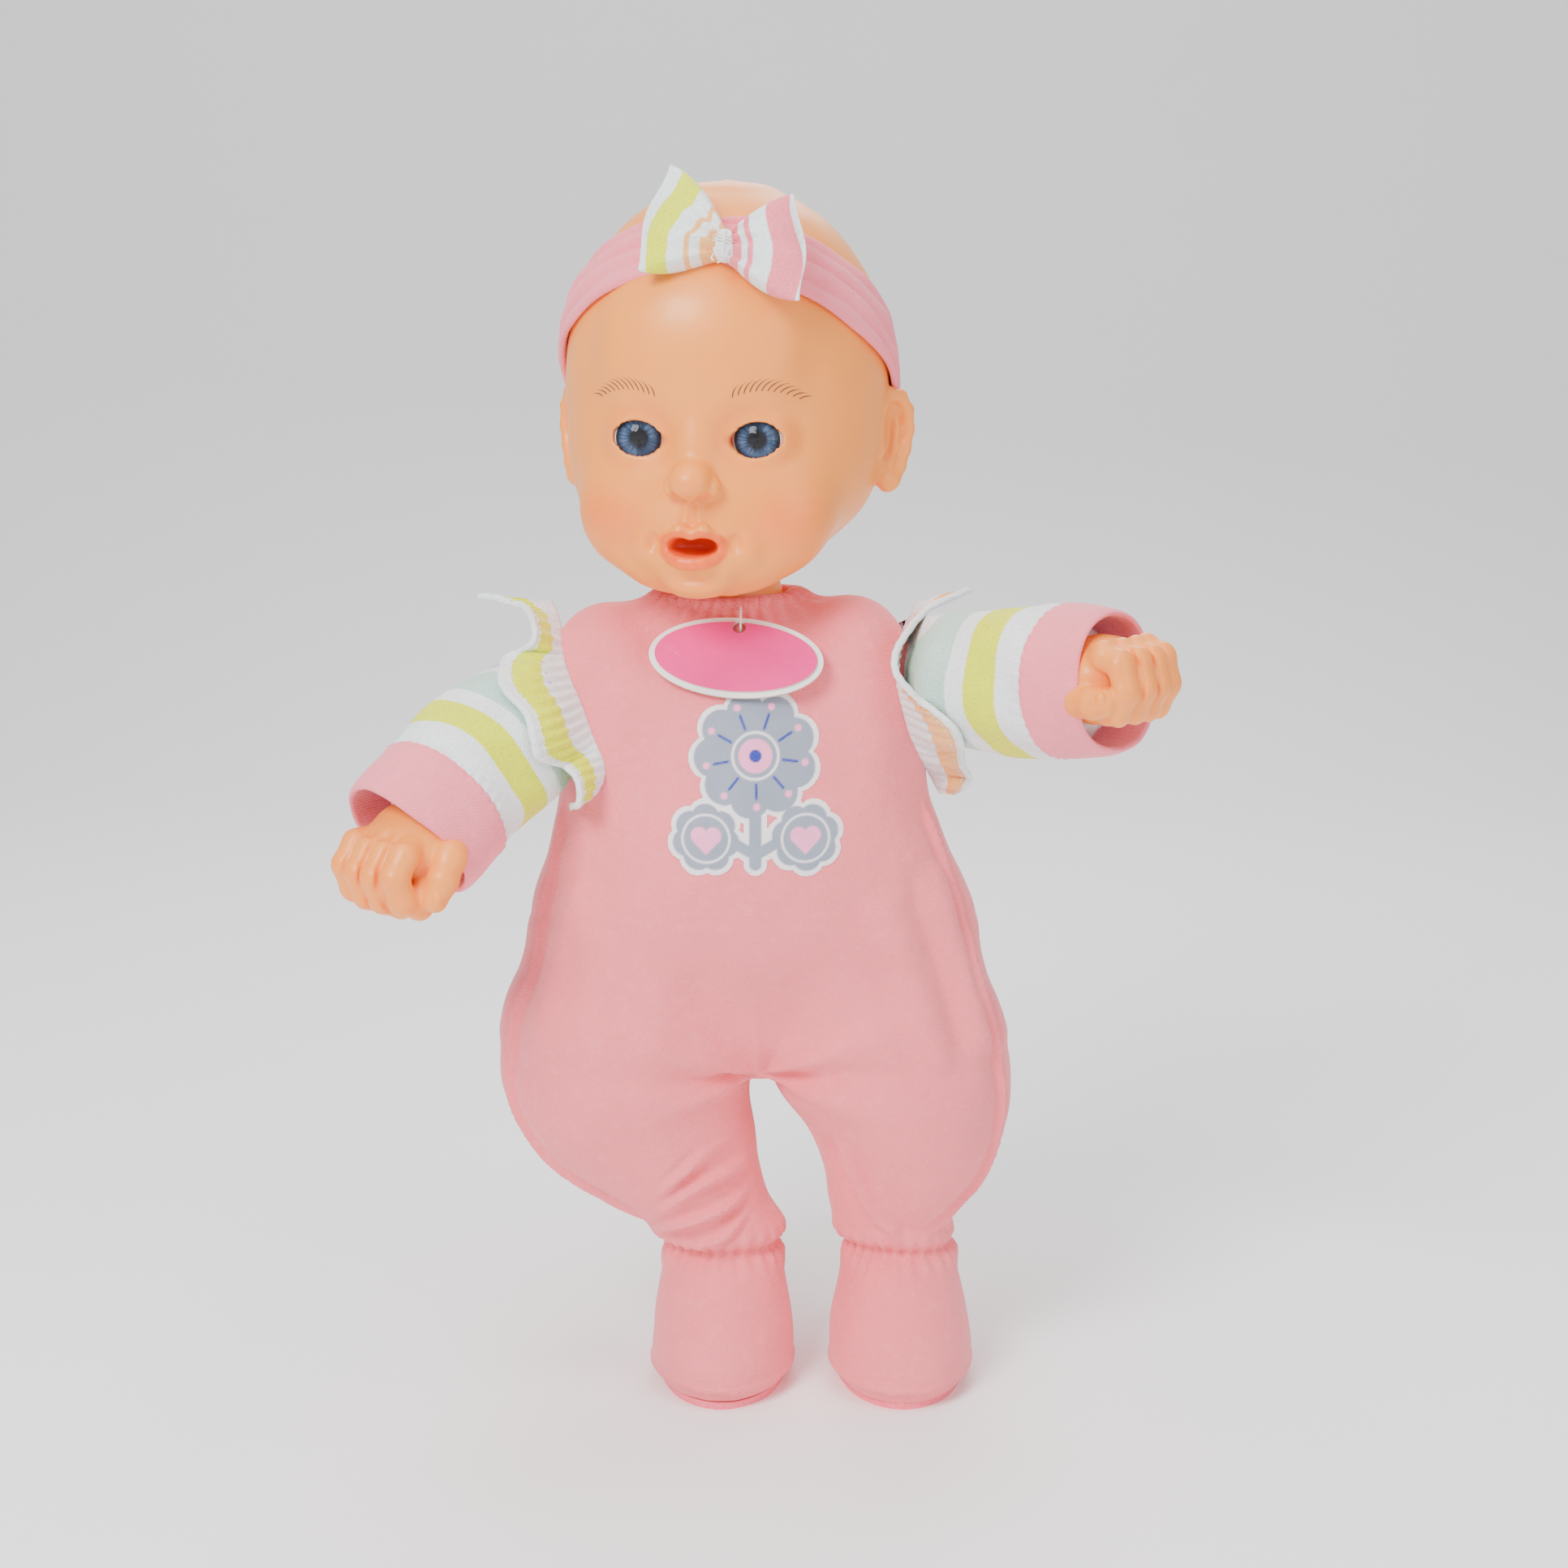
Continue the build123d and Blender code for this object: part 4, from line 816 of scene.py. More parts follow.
def sculpt_hand(side):
    """A fist in the arm's frame: +Z along the arm, the back of the hand at -X."""
    s = -SIDES[side]
    clay = Clay((-24, -28, 46), (24, 28, 104), 0.5)
    clay.rod((0, 0, 51.5), (0, 0, 70), 10.6, 11.0)
    clay.ball((0, 0, 51.5), (13.3, 13.3, 1.5), 0.5)
    clay.ball((-1.5, 0, 77.5), (11.5, 16.0, 12.5), 5.0)
    clay.ball((3.5, s * 3.0, 74.0), (9.0, 12.0, 9.5), 4.0)
    reach = (0.0, 1.0, 0.6, -1.4)
    for i in range(4):
        y = s * (11.6 - 7.7 * i)
        far = reach[i]
        points = [(-5.2, y * 0.72, 76), (-8.2, y, 86 + far), (-5.4, y * 1.02, 93.2 + far),
                  (2.2, y * 1.02, 95.0 + far), (8.6, y * 0.96, 90.6 + far), (9.2, y * 0.9, 84.5)]
        finger = Clay(clay.low, clay.low + clay.voxel * (np.array(clay.d.shape) - 1), clay.voxel)
        finger.chain(points, [4.0, 4.55, 4.6, 4.5, 4.2, 3.7], 0.0, 1.2)
        finger.d = finger.d[:clay.d.shape[0], :clay.d.shape[1], :clay.d.shape[2]]
        blend = 0.9
        h = np.clip(0.5 + 0.5 * (clay.d - finger.d) / blend, 0, 1)
        clay.d = clay.d + (finger.d - clay.d) * h - blend * h * (1 - h)
    for i in range(3):
        y = s * (7.75 - 7.7 * i)
        clay.chain([(-12.5, y, 84.5), (-9.5, y * 1.01, 93.0), (-2.5, y * 1.01, 99.6), (8.5, y, 97.0)],
                   [0.5, 1.0, 1.2, 1.0], 0.9, cut=True)
        clay.ball((-12.6, s * (11.0 - 7.5 * i), 82.5), (1.2, 1.5, 1.6), 2.0, cut=True)
    if side == "right":
        thumb = [(2.0, s * 11.0, 68), (0.5, s * 17.2, 75.5), (3.0, s * 19.0, 83.0), (6.5, s * 17.8, 88.5)]
    else:
        thumb = [(4.0, s * 9.0, 68), (5.0, s * 13.0, 75.0), (5.5, s * 16.0, 83.0), (5.0, s * 16.6, 90.0)]
    clay.chain(thumb, [5.6, 5.2, 4.7, 4.0], 1.3, 1.5)
    tip = thumb[-1]
    clay.ball((tip[0] - 1.2, tip[1] + s * 3.4, tip[2] + 0.6), (2.1, 1.2, 2.1), 0.25)
    clay.ball((0, 0, 72.0), (13.4, 15.2, 9.0), 3.0)
    clay.ball((5.5, s * 12.8, 86.0), (5.0, 4.6, 6.5), 1.6)
    points, quads = clay.surface(2)
    points[:, 2] -= (1 - FIST_DEPTH[side]) * np.maximum(points[:, 2] - 72.0, 0)
    share = FIST_SCALE + (1 - FIST_SCALE) * smoothstep(62, 52, points[:, 2])
    points = points * share[:, None] + (1 - share)[:, None] * FIST_MIDDLE
    return points + smoothstep(50, 66, points[:, 2])[:, None] * np.array(
        ARM_PLACE[side].to_3x3().inverted() @ FIST_SHIFT[side]), quads


def make_hands():
    skin = skin_finish("vinyl_hand")
    for side in SIDES:
        points, quads = sculpt_hand(side)
        crease = smoothstep(88, 97, points[:, 2]) * 0.35 + bell(points[:, 2], 84, 4) * 0.25
        hand = new_piece("fist_" + side, moved(points, ARM_PLACE[side]), quads, skin, {"blush": crease})
        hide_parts("hand_" + side)
        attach(hand, "hand_" + side)


# --- Romper: trunk, legs and feet from one skin, parted at the leg seams ---

ROMPER_VOXEL = 0.9
SEAM_Y = -2.0
CROTCH = (1.8, 91.5)
LEG_SEAM_SLOPE = 0.34

# Cloth outlines of each leg: height, outer x, inner x, half depth
LEG_SHAPES = {
    "right": [(140, -38, -14, 9), (131, -58, -4, 26), (116, -69.5, 0, 32), (98, -73.6, 1, 34),
              (86, -73.4, -1.2, 33), (75, -68.5, -0.2, 31), (62.7, -58.2, 1, 27), (52, -41, 4, 22),
              (46, -32, 7.4, 19.5), (38, -26.2, 7.6, 16.8), (33, -26.5, 8, 16)],
    "left": [(140, 15, 40, 9), (131, 4, 57, 26), (116, 1, 67.5, 32), (98, 2.5, 73.5, 34),
             (86, 6.5, 75, 33), (75, 15, 73.6, 31), (62.7, 20.5, 69.4, 27), (52, 22, 61.5, 22),
             (46, 23, 57.4, 19), (38, 25.8, 59.4, 16.8), (33, 26.5, 59, 16)],
}
FOOT_SHAPE = [(2, 18.5, 35, 23), (6.3, 20.5, 37, 25), (14.6, 20.5, 36, 25), (26.5, 18.5, 27, 22),
              (36, 16.5, 17.5, 17)]


def ankle_x(side):
    return BODY_X + SIDES[side] * HIP_X + ANKLE_SHIFT[side]


def sculpt_romper():
    clay = Clay((-80, -36, 1), (82, 62, 236), ROMPER_VOXEL)
    trunk = []
    for height, width, depth, forward in TRUNK_ROWS:
        x = BODY_X + TRUNK_LEAN * max(height, 0)
        y = BODY_Y - forward * 40
        half = TRUNK_HALF_DEPTH * depth
        trunk.append((HIP_Z + TRUNK_HEIGHT * height, TRUNK_HALF_WIDTH * width, y - half, y + half, x))
    clay.stack(trunk)
    for centre, radii in (((-40, 5, 208), (17.5, 18.5, 20)), ((27, 5, 207), (17.5, 18.5, 22.5)),
                          ((-37, 8, 188), (15.5, 24, 24)), ((27.5, 8, 187), (19, 24, 24)),
                          ((-7, 13, 214), (33, 20, 15))):
        clay.ball(centre, radii, 9.0)
    for side in SIDES:
        rows = [(z, abs(b - a) / 2, BODY_Y - d, BODY_Y + d, (a + b) / 2)
                for z, a, b, d in reversed(LEG_SHAPES[side])]
        legs = Clay(clay.low, clay.low + clay.voxel * (np.array(clay.d.shape) - 1), clay.voxel)
        legs.stack(rows)
        feet = [(z, w, BODY_Y - toe, BODY_Y + heel, ankle_x(side)) for z, w, toe, heel in FOOT_SHAPE]
        legs.stack(feet, 3.0)
        other = legs.d[tuple(slice(0, n) for n in clay.d.shape)]
        high = smoothstep(88, 104, clay.axes[2])
        k = (1.5 + 12.0 * high).astype(np.float32)
        h = np.clip(0.5 + 0.5 * (clay.d - other) / k, 0, 1)
        clay.d = clay.d + (other - clay.d) * h - k * h * (1 - h)
    clay.ball(tuple(NECK), (16.4, 16.4, 16.4), 1.5, cut=True)
    return clay.surface(2)


def fold(across, along, width, low, high, soft=6.0):
    """A soft ridge with a hollow on either side, between low and high along it."""
    ends = smoothstep(low, low + soft, along) * smoothstep(high, high - soft, along)
    return (bell(across, 0, width) - 0.55 * bell(across, 1.9 * width, width)
            - 0.55 * bell(across, -1.9 * width, width)) * ends


RELIEF = 1.6              # overall strength of the folds


def romper_relief(p):
    """How far the cloth stands out along its normal: folds, gathers, seams and slackness."""
    x, y, z = p.T
    front = smoothstep(8, -6, y)
    dx, dz = x - CROTCH[0], z - CROTCH[1] - 2
    r, angle = np.hypot(dx, dz), np.degrees(np.arctan2(dz, dx))
    out = np.zeros(len(p))
    for direction, spread, reach, height in (
        (158, 8, 12, 1.3), (176, 7, 14, -1.3), (28, 8, 14, 1.2), (8, 8, 16, -1.2), (-14, 9, 15, 1.2),
        (125, 12, 18, -0.8), (62, 12, 18, -0.9), (95, 10, 14, 0.8), (-165, 9, 12, 1.0), (140, 6, 16, 0.6),
    ):
        off = (angle - direction + 180) % 360 - 180
        out += height * bell(off, 0, spread) * (r / reach) * np.exp(1 - r / reach) * front
    right, left = smoothstep(0, -8, x), smoothstep(4, 12, x)
    side = smoothstep(30, 44, np.abs(x - BODY_X))
    out += 1.3 * fold(x - (50 + 0.30 * (156 - z)), z, 3.2, 100, 158) * front
    out += 0.9 * fold(x - (36 + 0.34 * (150 - z)), z, 4.5, 96, 152) * front
    out += 1.0 * fold(x + (49 + 0.28 * (150 - z)), z, 3.5, 96, 156) * front
    out += 0.6 * fold(x + (20 + 0.2 * (150 - z)), z, 6.0, 100, 160) * front
    for number, (at, lean, height) in enumerate(((72, 0.55, 1.2), (64, 0.62, 1.5),
                                                 (56, 0.68, 1.5), (48.5, 0.6, 1.3))):
        across = z - at - lean * (x + 10) + 2.5 * np.sin(x / 7 + number)
        out += (height * fold(across, x, 1.7, -30, 12, 12) * right
                * smoothstep(78, 66, z) * smoothstep(40, 46, z))
    out += 1.6 * fold(x - (26 + 0.42 * (72 - z)), z, 1.7, 46, 78, 7) * left * front
    out += 1.0 * fold(x - (34 + 0.3 * (66 - z)), z, 2.2, 42, 66, 7) * left * front
    for name, sign in SIDES.items():
        near = smoothstep(28, 20, np.abs(x - ankle_x(name))) * (z < 60)
        turn = np.arctan2(y - BODY_Y, x - ankle_x(name))
        pleats = np.sin(26 * turn + 1.5 * np.sin(3 * turn))
        out += near * (0.42 * pleats * bell(z, 39.5, 5.0) - 1.5 * bell(z, 39.5, 1.7)
                       + 0.5 * bell(z, 44, 2.5))
        out += near * 0.7 * bell(z, 6.0, 0.8) * (z < 9)
    seam = bell(y, SEAM_Y, 0.95) * 1.0 - 0.5 * bell(y, SEAM_Y - 2.6, 1.3) - 0.5 * bell(y, SEAM_Y + 2.6, 1.3)
    out += seam * side * smoothstep(44, 52, z) * smoothstep(176, 166, z)
    from_neck = np.hypot(x - NECK.x, y - NECK.y)
    turn = np.arctan2(y - NECK.y, x - NECK.x)
    out += 0.5 * np.sin(34 * turn + 2 * np.sin(4 * turn)) * bell(from_neck, 19, 6) * (z > 215)
    for at in (118, 108, 99):
        out += 0.7 * fold(z - at - 4 * np.cos(x / 26), x, 2.6, -46, 50, 16) * smoothstep(30, 42, y)
    return RELIEF * out + 0.9 * noise_at(p, 30, 1.0) + 0.35 * noise_at(p, 11, 2.0)


def leg_share(p, side):
    """How far below the leg seam each point is, along the leg."""
    s = SIDES[side]
    down = Vector((s * LEG_SEAM_SLOPE, 0, -1)).normalized()
    return (p - np.array((CROTCH[0], BODY_Y, CROTCH[1]))) @ np.array(down), down


def make_romper():
    points, quads = sculpt_romper()
    normals = normals_of(points, quads)
    points = points + normals * romper_relief(points)[:, None]
    points[:, 2] = np.maximum(points[:, 2], 1.6)
    points = relax(points, quads, 1)
    normals = normals_of(points, quads)
    cloth = jersey_finish("romper_jersey", PINK)
    centre = points[quads].mean(1)
    below = {side: leg_share(centre, side)[0] > 0 for side in SIDES}
    leg_of = {"right": below["right"] & (centre[:, 0] < CROTCH[0]),
              "left": below["left"] & (centre[:, 0] >= CROTCH[0])}
    parts = {"romper_body": ~(leg_of["right"] | leg_of["left"])}
    parts.update({"romper_trouser_" + side: leg_of[side] for side in SIDES})
    for name, chosen in parts.items():
        faces = quads[chosen]
        used, index = np.unique(faces, return_inverse=True)
        piece = new_piece(name, points[used], index.reshape(faces.shape), cloth)
        piece.data.normals_split_custom_set_from_vertices(normals[used].tolist())
        if name == "romper_body":
            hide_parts("romper_front", "romper_back", "torso_filling")
            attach(piece, "torso")
            continue
        side = name.rsplit("_", 1)[1]
        nodes = ("leg_filling_", "romper_leg_", "bootie_", "ankle_elastic_")
        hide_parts(*(node + side for node in nodes))
        _, down = leg_share(points[:1], side)
        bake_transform(piece)
    return BVHTree.FromPolygons(points.tolist(), quads.tolist())


# --- Tubes of cloth along the arm ---

def ring_tube(profile, columns, shape):
    """Rings along Z. profile is (along, radius) pairs, and shape changes each ring's points."""
    turns = 2 * math.pi * np.arange(columns) / columns
    points = []
    for i, (along, radius) in enumerate(profile):
        r, lift = shape(i, along, radius, turns)
        points.append(np.stack([r * np.cos(turns), r * np.sin(turns), along + lift], 1))
    return np.concatenate(points)


def dense(profile, step):
    """The same profile with points at most `step` apart."""
    out = [profile[0]]
    for a, b in zip(profile, profile[1:]):
        count = max(1, math.ceil(math.dist(a, b) / step))
        out += [tuple(a[k] + (b[k] - a[k]) * i / count for k in (0, 1)) for i in range(1, count + 1)]
    return out


SLEEVE_STRIPES = [(14, PINK), (8, LILAC), (3.5, WHITE), (9, MINT), (4.5, WHITE), (7.5, LIME), (30, WHITE)]
SLEEVE_PROFILE = [(-4, 0.5), (-4, 5), (0, 9.5), (6, 12.8), (12, 15.2), (19, 17.6), (28, 19.6), (40, 20.6),
                  (54, 20.4), (55.4, 19.4), (57, 17.4), (60, 14.8), (63, 12.6), (64, 11.4), (63, 4), (62.5, 0.5)]
SLEEVE_BEND = {"right": Vector((-6.5, 0, -2.5)), "left": Vector((10.0, 0, 0))}


def bend(local, along, side):
    """Pushes the outer part of a sleeve sideways, in the direction it was laid."""
    way = np.array(ARM_PLACE[side].to_3x3().inverted() @ SLEEVE_BEND[side])
    return local + smoothstep(8, 52, along)[:, None] * way


def tuck_under(points, side, romper):
    """Keeps the sleeve's root behind the romper on the body's side of the armhole seam."""
    seam = np.array(sorted((z, x) for x, z, _, _ in RUFFLES[side]))
    beyond = (points[:, 0] - np.interp(points[:, 2], seam[:, 0], seam[:, 1])) * -SIDES[side]
    for i in np.nonzero((beyond > -5.0) & (points[:, 1] < 12))[0]:
        x, y, z = points[i]
        hit = romper.ray_cast(Vector((x, -150, z)), Vector((0, 1, 0)))[0]
        back = (hit.y if hit else 8.0) + 1.5
        points[i, 1] += max(back - y, 0) * float(smoothstep(-5.0, -1.0, beyond[i]))
    return points


def make_sleeve(side, romper):
    s = SIDES[side]
    seed = 3.0 if side == "right" else 8.0
    profile = dense(SLEEVE_PROFILE, 1.3)

    def shape(i, along, radius, turns):
        body = float(smoothstep(-2, 8, along) * smoothstep(56, 50, along))
        slack = (1.5 * np.sin(2 * turns + 0.11 * along + seed)
                 + 0.9 * np.sin(5 * turns - 0.16 * along + seed))
        from_bend = np.abs((turns - (0.2 + s * 0.5) + np.pi) % (2 * np.pi) - np.pi)
        elbow = -3.4 * bell(along, 28, 5.0) * bell(from_bend, 0, 0.9)
        elbow += 1.5 * bell(along, 21, 4.0) * bell(from_bend, 0, 1.0)
        gather = (0.45 * np.sin(30 * turns) * bell(along, 5, 4.5)
                  + 0.35 * np.sin(38 * turns) * bell(along, 54.5, 2.2))
        inside = 0.5 * np.sin(17 * turns) * (along > 55.5) * min(radius / 12, 1)
        return (radius + body * (slack * 0.55 + elbow) + gather + inside,
                body * 0.6 * np.sin(3 * turns + seed))
    columns = 150
    local = ring_tube(profile, columns, shape)
    ring = np.array([along for along, _ in profile]).repeat(columns)
    local += (0.5 * noise_at(local, 9, seed) * smoothstep(-2, 6, ring) * smoothstep(56, 53, ring))[:, None] \
        * local * [1, 1, 0] / np.maximum(np.hypot(local[:, 0], local[:, 1]), 1)[:, None]
    placed = np.array(moved(bend(local, ring, side), ARM_PLACE[side]))
    placed = tuck_under(placed, side, romper)
    faces = net_faces(len(profile), columns, wrap_columns=True)
    faces.append(tuple(range(columns))[::-1])
    faces.append(tuple((len(profile) - 1) * columns + j for j in range(columns)))
    inner = np.array([i > len(profile) * 0.5 and a > 55 or r < 12 for i, (a, r) in enumerate(profile)])
    along = np.where(inner.repeat(columns), 60.0, ring)
    sleeve = new_piece("striped_sleeve_" + side, placed, faces, SLEEVE_CLOTH, {"along": along})
    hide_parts("sleeve_" + side, "arm_filling_" + side, "shoulder_filling_" + side, "wrist_tie_" + side)
    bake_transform(sleeve)
    return sleeve


CUFF_PROFILE = [(54.2, 19.5), (54.5, 20.4), (55.6, 20.9), (60, 20.9), (65, 20.4), (69.6, 19.8), (71.4, 19.2),
                (72.0, 18.4), (71.4, 17.7), (69, 17.7), (62, 18.2), (56, 18.6), (54.4, 18.9)]


def make_cuff(side):
    seed = 5.0 if side == "right" else 11.0
    profile = dense(CUFF_PROFILE[:-1], 0.8)
    columns = 160

    def shape(i, along, radius, turns):
        open_end = float(smoothstep(57, 72, along))
        oval = 1.1 * open_end * np.cos(2 * turns + seed) + 0.45 * np.sin(3 * turns + seed)
        tuck = 0.25 * np.sin(40 * turns) * bell(along, 55, 1.2)
        lift = open_end * (1.2 * np.sin(turns + seed) + 0.5 * np.sin(3 * turns))
        return radius + oval * smoothstep(54, 57, along) + tuck, lift
    local = ring_tube(profile, columns, shape)
    local += (0.35 * noise_at(local, 7, seed))[:, None] * local * [1, 1, 0] / 22
    local = bend(local, np.array([along for along, _ in profile]).repeat(columns), side)
    faces = net_faces(len(profile), columns, wrap_rows=True, wrap_columns=True)
    cuff = new_piece("jersey_cuff_" + side, moved(local, ARM_PLACE[side]), faces, CUFF_CLOTH)
    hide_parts("cuff_" + side)
    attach(cuff, "arm_" + side)


# Armhole seam from the shoulder to the armpit, and the hem beyond it: x, z of each, from the front
RUFFLES = {
    "right": [
        (-56.5, 227.5, -78.0, 229.0), (-55.0, 224.0, -71.0, 228.5), (-54.0, 220.0, -63.0, 226.0),
        (-53.0, 215.5, -61.0, 220.0), (-51.8, 212.0, -69.0, 214.0), (-50.0, 207.5, -68.5, 208.0),
        (-48.0, 203.0, -62.0, 201.5), (-46.0, 198.0, -60.0, 195.0), (-44.0, 193.0, -58.5, 189.5),
        (-42.0, 188.5, -52.0, 186.0), (-41.0, 184.0, -48.5, 183.0), (-42.5, 179.5, -48.0, 177.0),
        (-46.0, 175.5, -51.0, 173.5),
    ],
    "left": [
        (46.0, 227.5, 62.5, 231.0), (44.8, 225.0, 57.0, 229.5), (43.5, 222.0, 50.0, 227.5),
        (42.3, 219.0, 43.0, 221.5), (41.3, 216.0, 39.6, 217.0), (40.5, 211.5, 39.4, 212.0),
        (40.4, 207.0, 43.5, 207.0), (41.2, 202.5, 50.0, 203.0), (42.3, 198.0, 56.0, 197.5),
        (44.0, 192.0, 58.5, 190.0), (46.5, 186.0, 59.5, 184.0), (49.5, 180.0, 62.0, 178.0),
        (53.0, 173.5, 57.0, 174.0),
    ],
}
RUFFLE_REACH = 13.0
RUFFLE_STRIPES = {
    "right": [(3.0, WHITE), (5.6, LIME), (1.6, WHITE), (9, WHITE)],
    "left": [(2.2, WHITE), (5.4, PEACH), (9, WHITE)],
}


def make_ruffle(side, tree):
    """A gathered flounce, closed and 1.2 mm thick, with a rolled hem along its free edge."""
    last = len(RUFFLES[side]) - 1
    rows = np.array([(i / last, *row) for i, row in enumerate(RUFFLES[side])])
    count, steps = 220, 12
    u = np.linspace(0, 1, count)
    path = through(rows, u)

    def front_of(x, z):
        hit = tree.ray_cast(Vector((x, -150, z)), Vector((0, 1, 0)))[0]
        return hit.y if hit else np.nan
    grid = np.zeros((steps + 1, count, 3))
    base = np.array([front_of(x, z) for x, z in path[:, :2]])
    base[np.isnan(base)] = 8.0
    base = np.minimum(base, 8.0)
    kernel = np.ones(15) / 15
    base = np.convolve(np.pad(base, 7, "edge"), kernel, "valid") + 0.4 + 2.5 * smoothstep(0.12, 0.0, u)
    span = np.linalg.norm(path[:, 2:] - path[:, :2], axis=1)
    away = (np.sqrt(np.maximum(RUFFLE_REACH ** 2 - span ** 2, 9.0))
            * smoothstep(0.0, 0.08, u) * smoothstep(1.0, 0.93, u))
    for j in range(steps + 1):
        v = j / steps
        flat = path[:, :2] + (path[:, 2:] - path[:, :2]) * v ** 0.9
        deep = base - away * v - 1.6 * math.sin(math.pi * v)
        under = np.array([front_of(x, z) for x, z in flat])
        under[np.isnan(under)] = 99.0
        deep = np.minimum(deep, under - 2.2 * smoothstep(0, 0.25, v) + 0.6 * (v < 0.05))
        grid[j] = np.stack([flat[:, 0], deep, flat[:, 1]], 1)
    for _ in range(12):
        grid[:, 1:-1, 1] = 0.5 * grid[:, 1:-1, 1] + 0.25 * (grid[:, :-2, 1] + grid[:, 2:, 1])
        grid[1:-1, :, 1] = 0.5 * grid[1:-1, :, 1] + 0.25 * (grid[:-2, :, 1] + grid[2:, :, 1])
    along = np.gradient(grid, axis=1)
    out = np.gradient(grid, axis=0)
    normal = np.cross(along, out)
    normal /= np.maximum(np.linalg.norm(normal, axis=2, keepdims=True), 1e-6)
    if normal[steps // 2, :, 1].mean() > 0:
        normal = -normal
    pleat = np.sin(2 * np.pi * 24 * u)
    sides = []
    for sign in (1, -1):
        sheet = []
        for j in range(steps + 1):
            v = j / steps
            thick = 0.55 + 0.75 * smoothstep(0.84, 0.92, v) - 0.9 * smoothstep(0.97, 1.0, v)
            lift = 0.9 * pleat * (1 - v) * v ** 0.4 + 0.4
            sheet.append(grid[j] + normal[j] * (lift + sign * thick)[:, None])
        sides.append(np.array(sheet))
    if side == "right":
        sides = sides[::-1]
    points = np.concatenate([sides[0].reshape(-1, 3), sides[1][::-1].reshape(-1, 3)])
    faces = net_faces(2 * (steps + 1), count, wrap_rows=True)
    start = 2 * (steps + 1)
    for end in (0, count - 1):
        loop = [k * count + end for k in range(start)]
        faces.append(tuple(loop if end else loop[::-1]))
    v = np.linspace(0, 1, steps + 1).repeat(count)
    hem_first = RUFFLE_REACH * (1 - np.concatenate([v, v[::-1]]))
    cloth = RUFFLE_CLOTH[side]
    ruffle = new_piece("flounce_" + side, points, faces, cloth, {"along": hem_first})
    refine(ruffle)
    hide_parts("ruffle_" + side)
    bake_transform(ruffle)
    stitch_line(sides, u, side)


def stitch_line(sides, u, side):
    """White topstitching just inside the rolled hem."""
    row = 9
    paths = []
    for face in (0, 1):
        line = sides[face][row]
        other = sides[1 - face][row]
        out = line - other
        out /= np.linalg.norm(out, axis=1, keepdims=True)
        line = line + 0.12 * out
        for start in range(4, len(u) - 5, 4):
            paths.append(line[start:start + 3])
    points, faces = tube_mesh(paths, 5, lambda n, t: 0.17)
    thread = new_piece("hem_stitches_" + side, points, faces, THREAD)
    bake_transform(thread)


# --- Headband and bow, in the head's frame ---

BAND_MIDDLE = CHIN_LIFT + 0.60 * HEAD_HEIGHT
BAND_TILT = 36.0
BAND_WIDTH = 21.0


def head_field(points):
    """Below zero inside the bare head."""
    rows = np.array(head_rows())
    z = points[:, 2]
    half = (rows[:, 3] - rows[:, 2]) / 2
    table = np.stack([rows[:, 0], rows[:, 1] ** 2, half ** 2, (rows[:, 2] + rows[:, 3]) / 2], 1)
    w2, h2, cy = through(table, z).T
    outside = (z > rows[-1, 0]) | (z < rows[0, 0])
    field = points[:, 0] ** 2 / np.maximum(w2, 0.01) + (points[:, 1] - cy) ** 2 / np.maximum(h2, 0.01) - 1
    return np.where(outside, 9.0, field)


def make_headband():
    tilt = np.array(Matrix.Rotation(math.radians(-BAND_TILT), 3, "X"))
    columns = 300
    turns = 2 * np.pi * np.arange(columns) / columns
    ways = np.stack([np.cos(turns), np.sin(turns), np.zeros(columns)], 1) @ tilt.T
    up = tilt @ np.array([0, 0, 1.0])
    section = [(-1.00, 0.15), (-1.02, 1.0), (-0.97, 2.0), (-0.88, 2.5), (-0.70, 2.2), (-0.56, 1.2), (-0.50, 1.1),
               (-0.40, 2.1), (-0.22, 2.8), (-0.06, 2.4), (0.02, 1.1), (0.07, 1.0), (0.20, 2.0), (0.38, 2.5),
               (0.52, 2.1), (0.60, 1.2), (0.66, 1.1), (0.80, 2.0), (0.92, 2.0), (1.0, 1.2), (0.99, 0.15)]
    pinch = bell((turns - 1.5 * np.pi + np.pi) % (2 * np.pi) - np.pi, 0.06, 0.16)
    points = []
    for share, lift in section:
        ear = np.exp(-((ways[:, 1] * 46 - 2) / 13) ** 2) * 3.4 if share < 0 else 0.0
        half = BAND_WIDTH / 2 * (1 - 0.34 * pinch)
        across = share * half + ear * max(-share, 0)
        across = across + 0.5 * np.sin(5 * turns + 3 * share) * (1 - abs(share))
        base = np.array([0, 0, BAND_MIDDLE]) + across[:, None] * up
        near, far = np.full(columns, 8.0), np.full(columns, 75.0)
        for _ in range(22):
            middle = (near + far) / 2
            inside = head_field(base + ways * middle[:, None]) < 0
            near, far = np.where(inside, middle, near), np.where(inside, far, middle)
        slack = 0.35 * np.sin(7 * turns + 4 * share) + 0.3 * np.sin(13 * turns - 6 * share)
        rise = lift + (slack * 0.6 + 1.2 * pinch) * (lift > 0.5)
        points.append(base + ways * (near + 0.3 + rise)[:, None])
    points = np.concatenate(points)
    faces = net_faces(len(section), columns, wrap_rows=True, wrap_columns=True)
    band = new_piece("jersey_headband", moved(points, HEAD_PLACE), faces,
                     jersey_finish("headband_jersey", CUFF_PINK))
    refine(band)
    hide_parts("headband")
    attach(band, "head")


BOW_PLACE = HEAD_PLACE @ place_matrix(Vector((7.6, -44.4, 95.6)), ("X", -30))

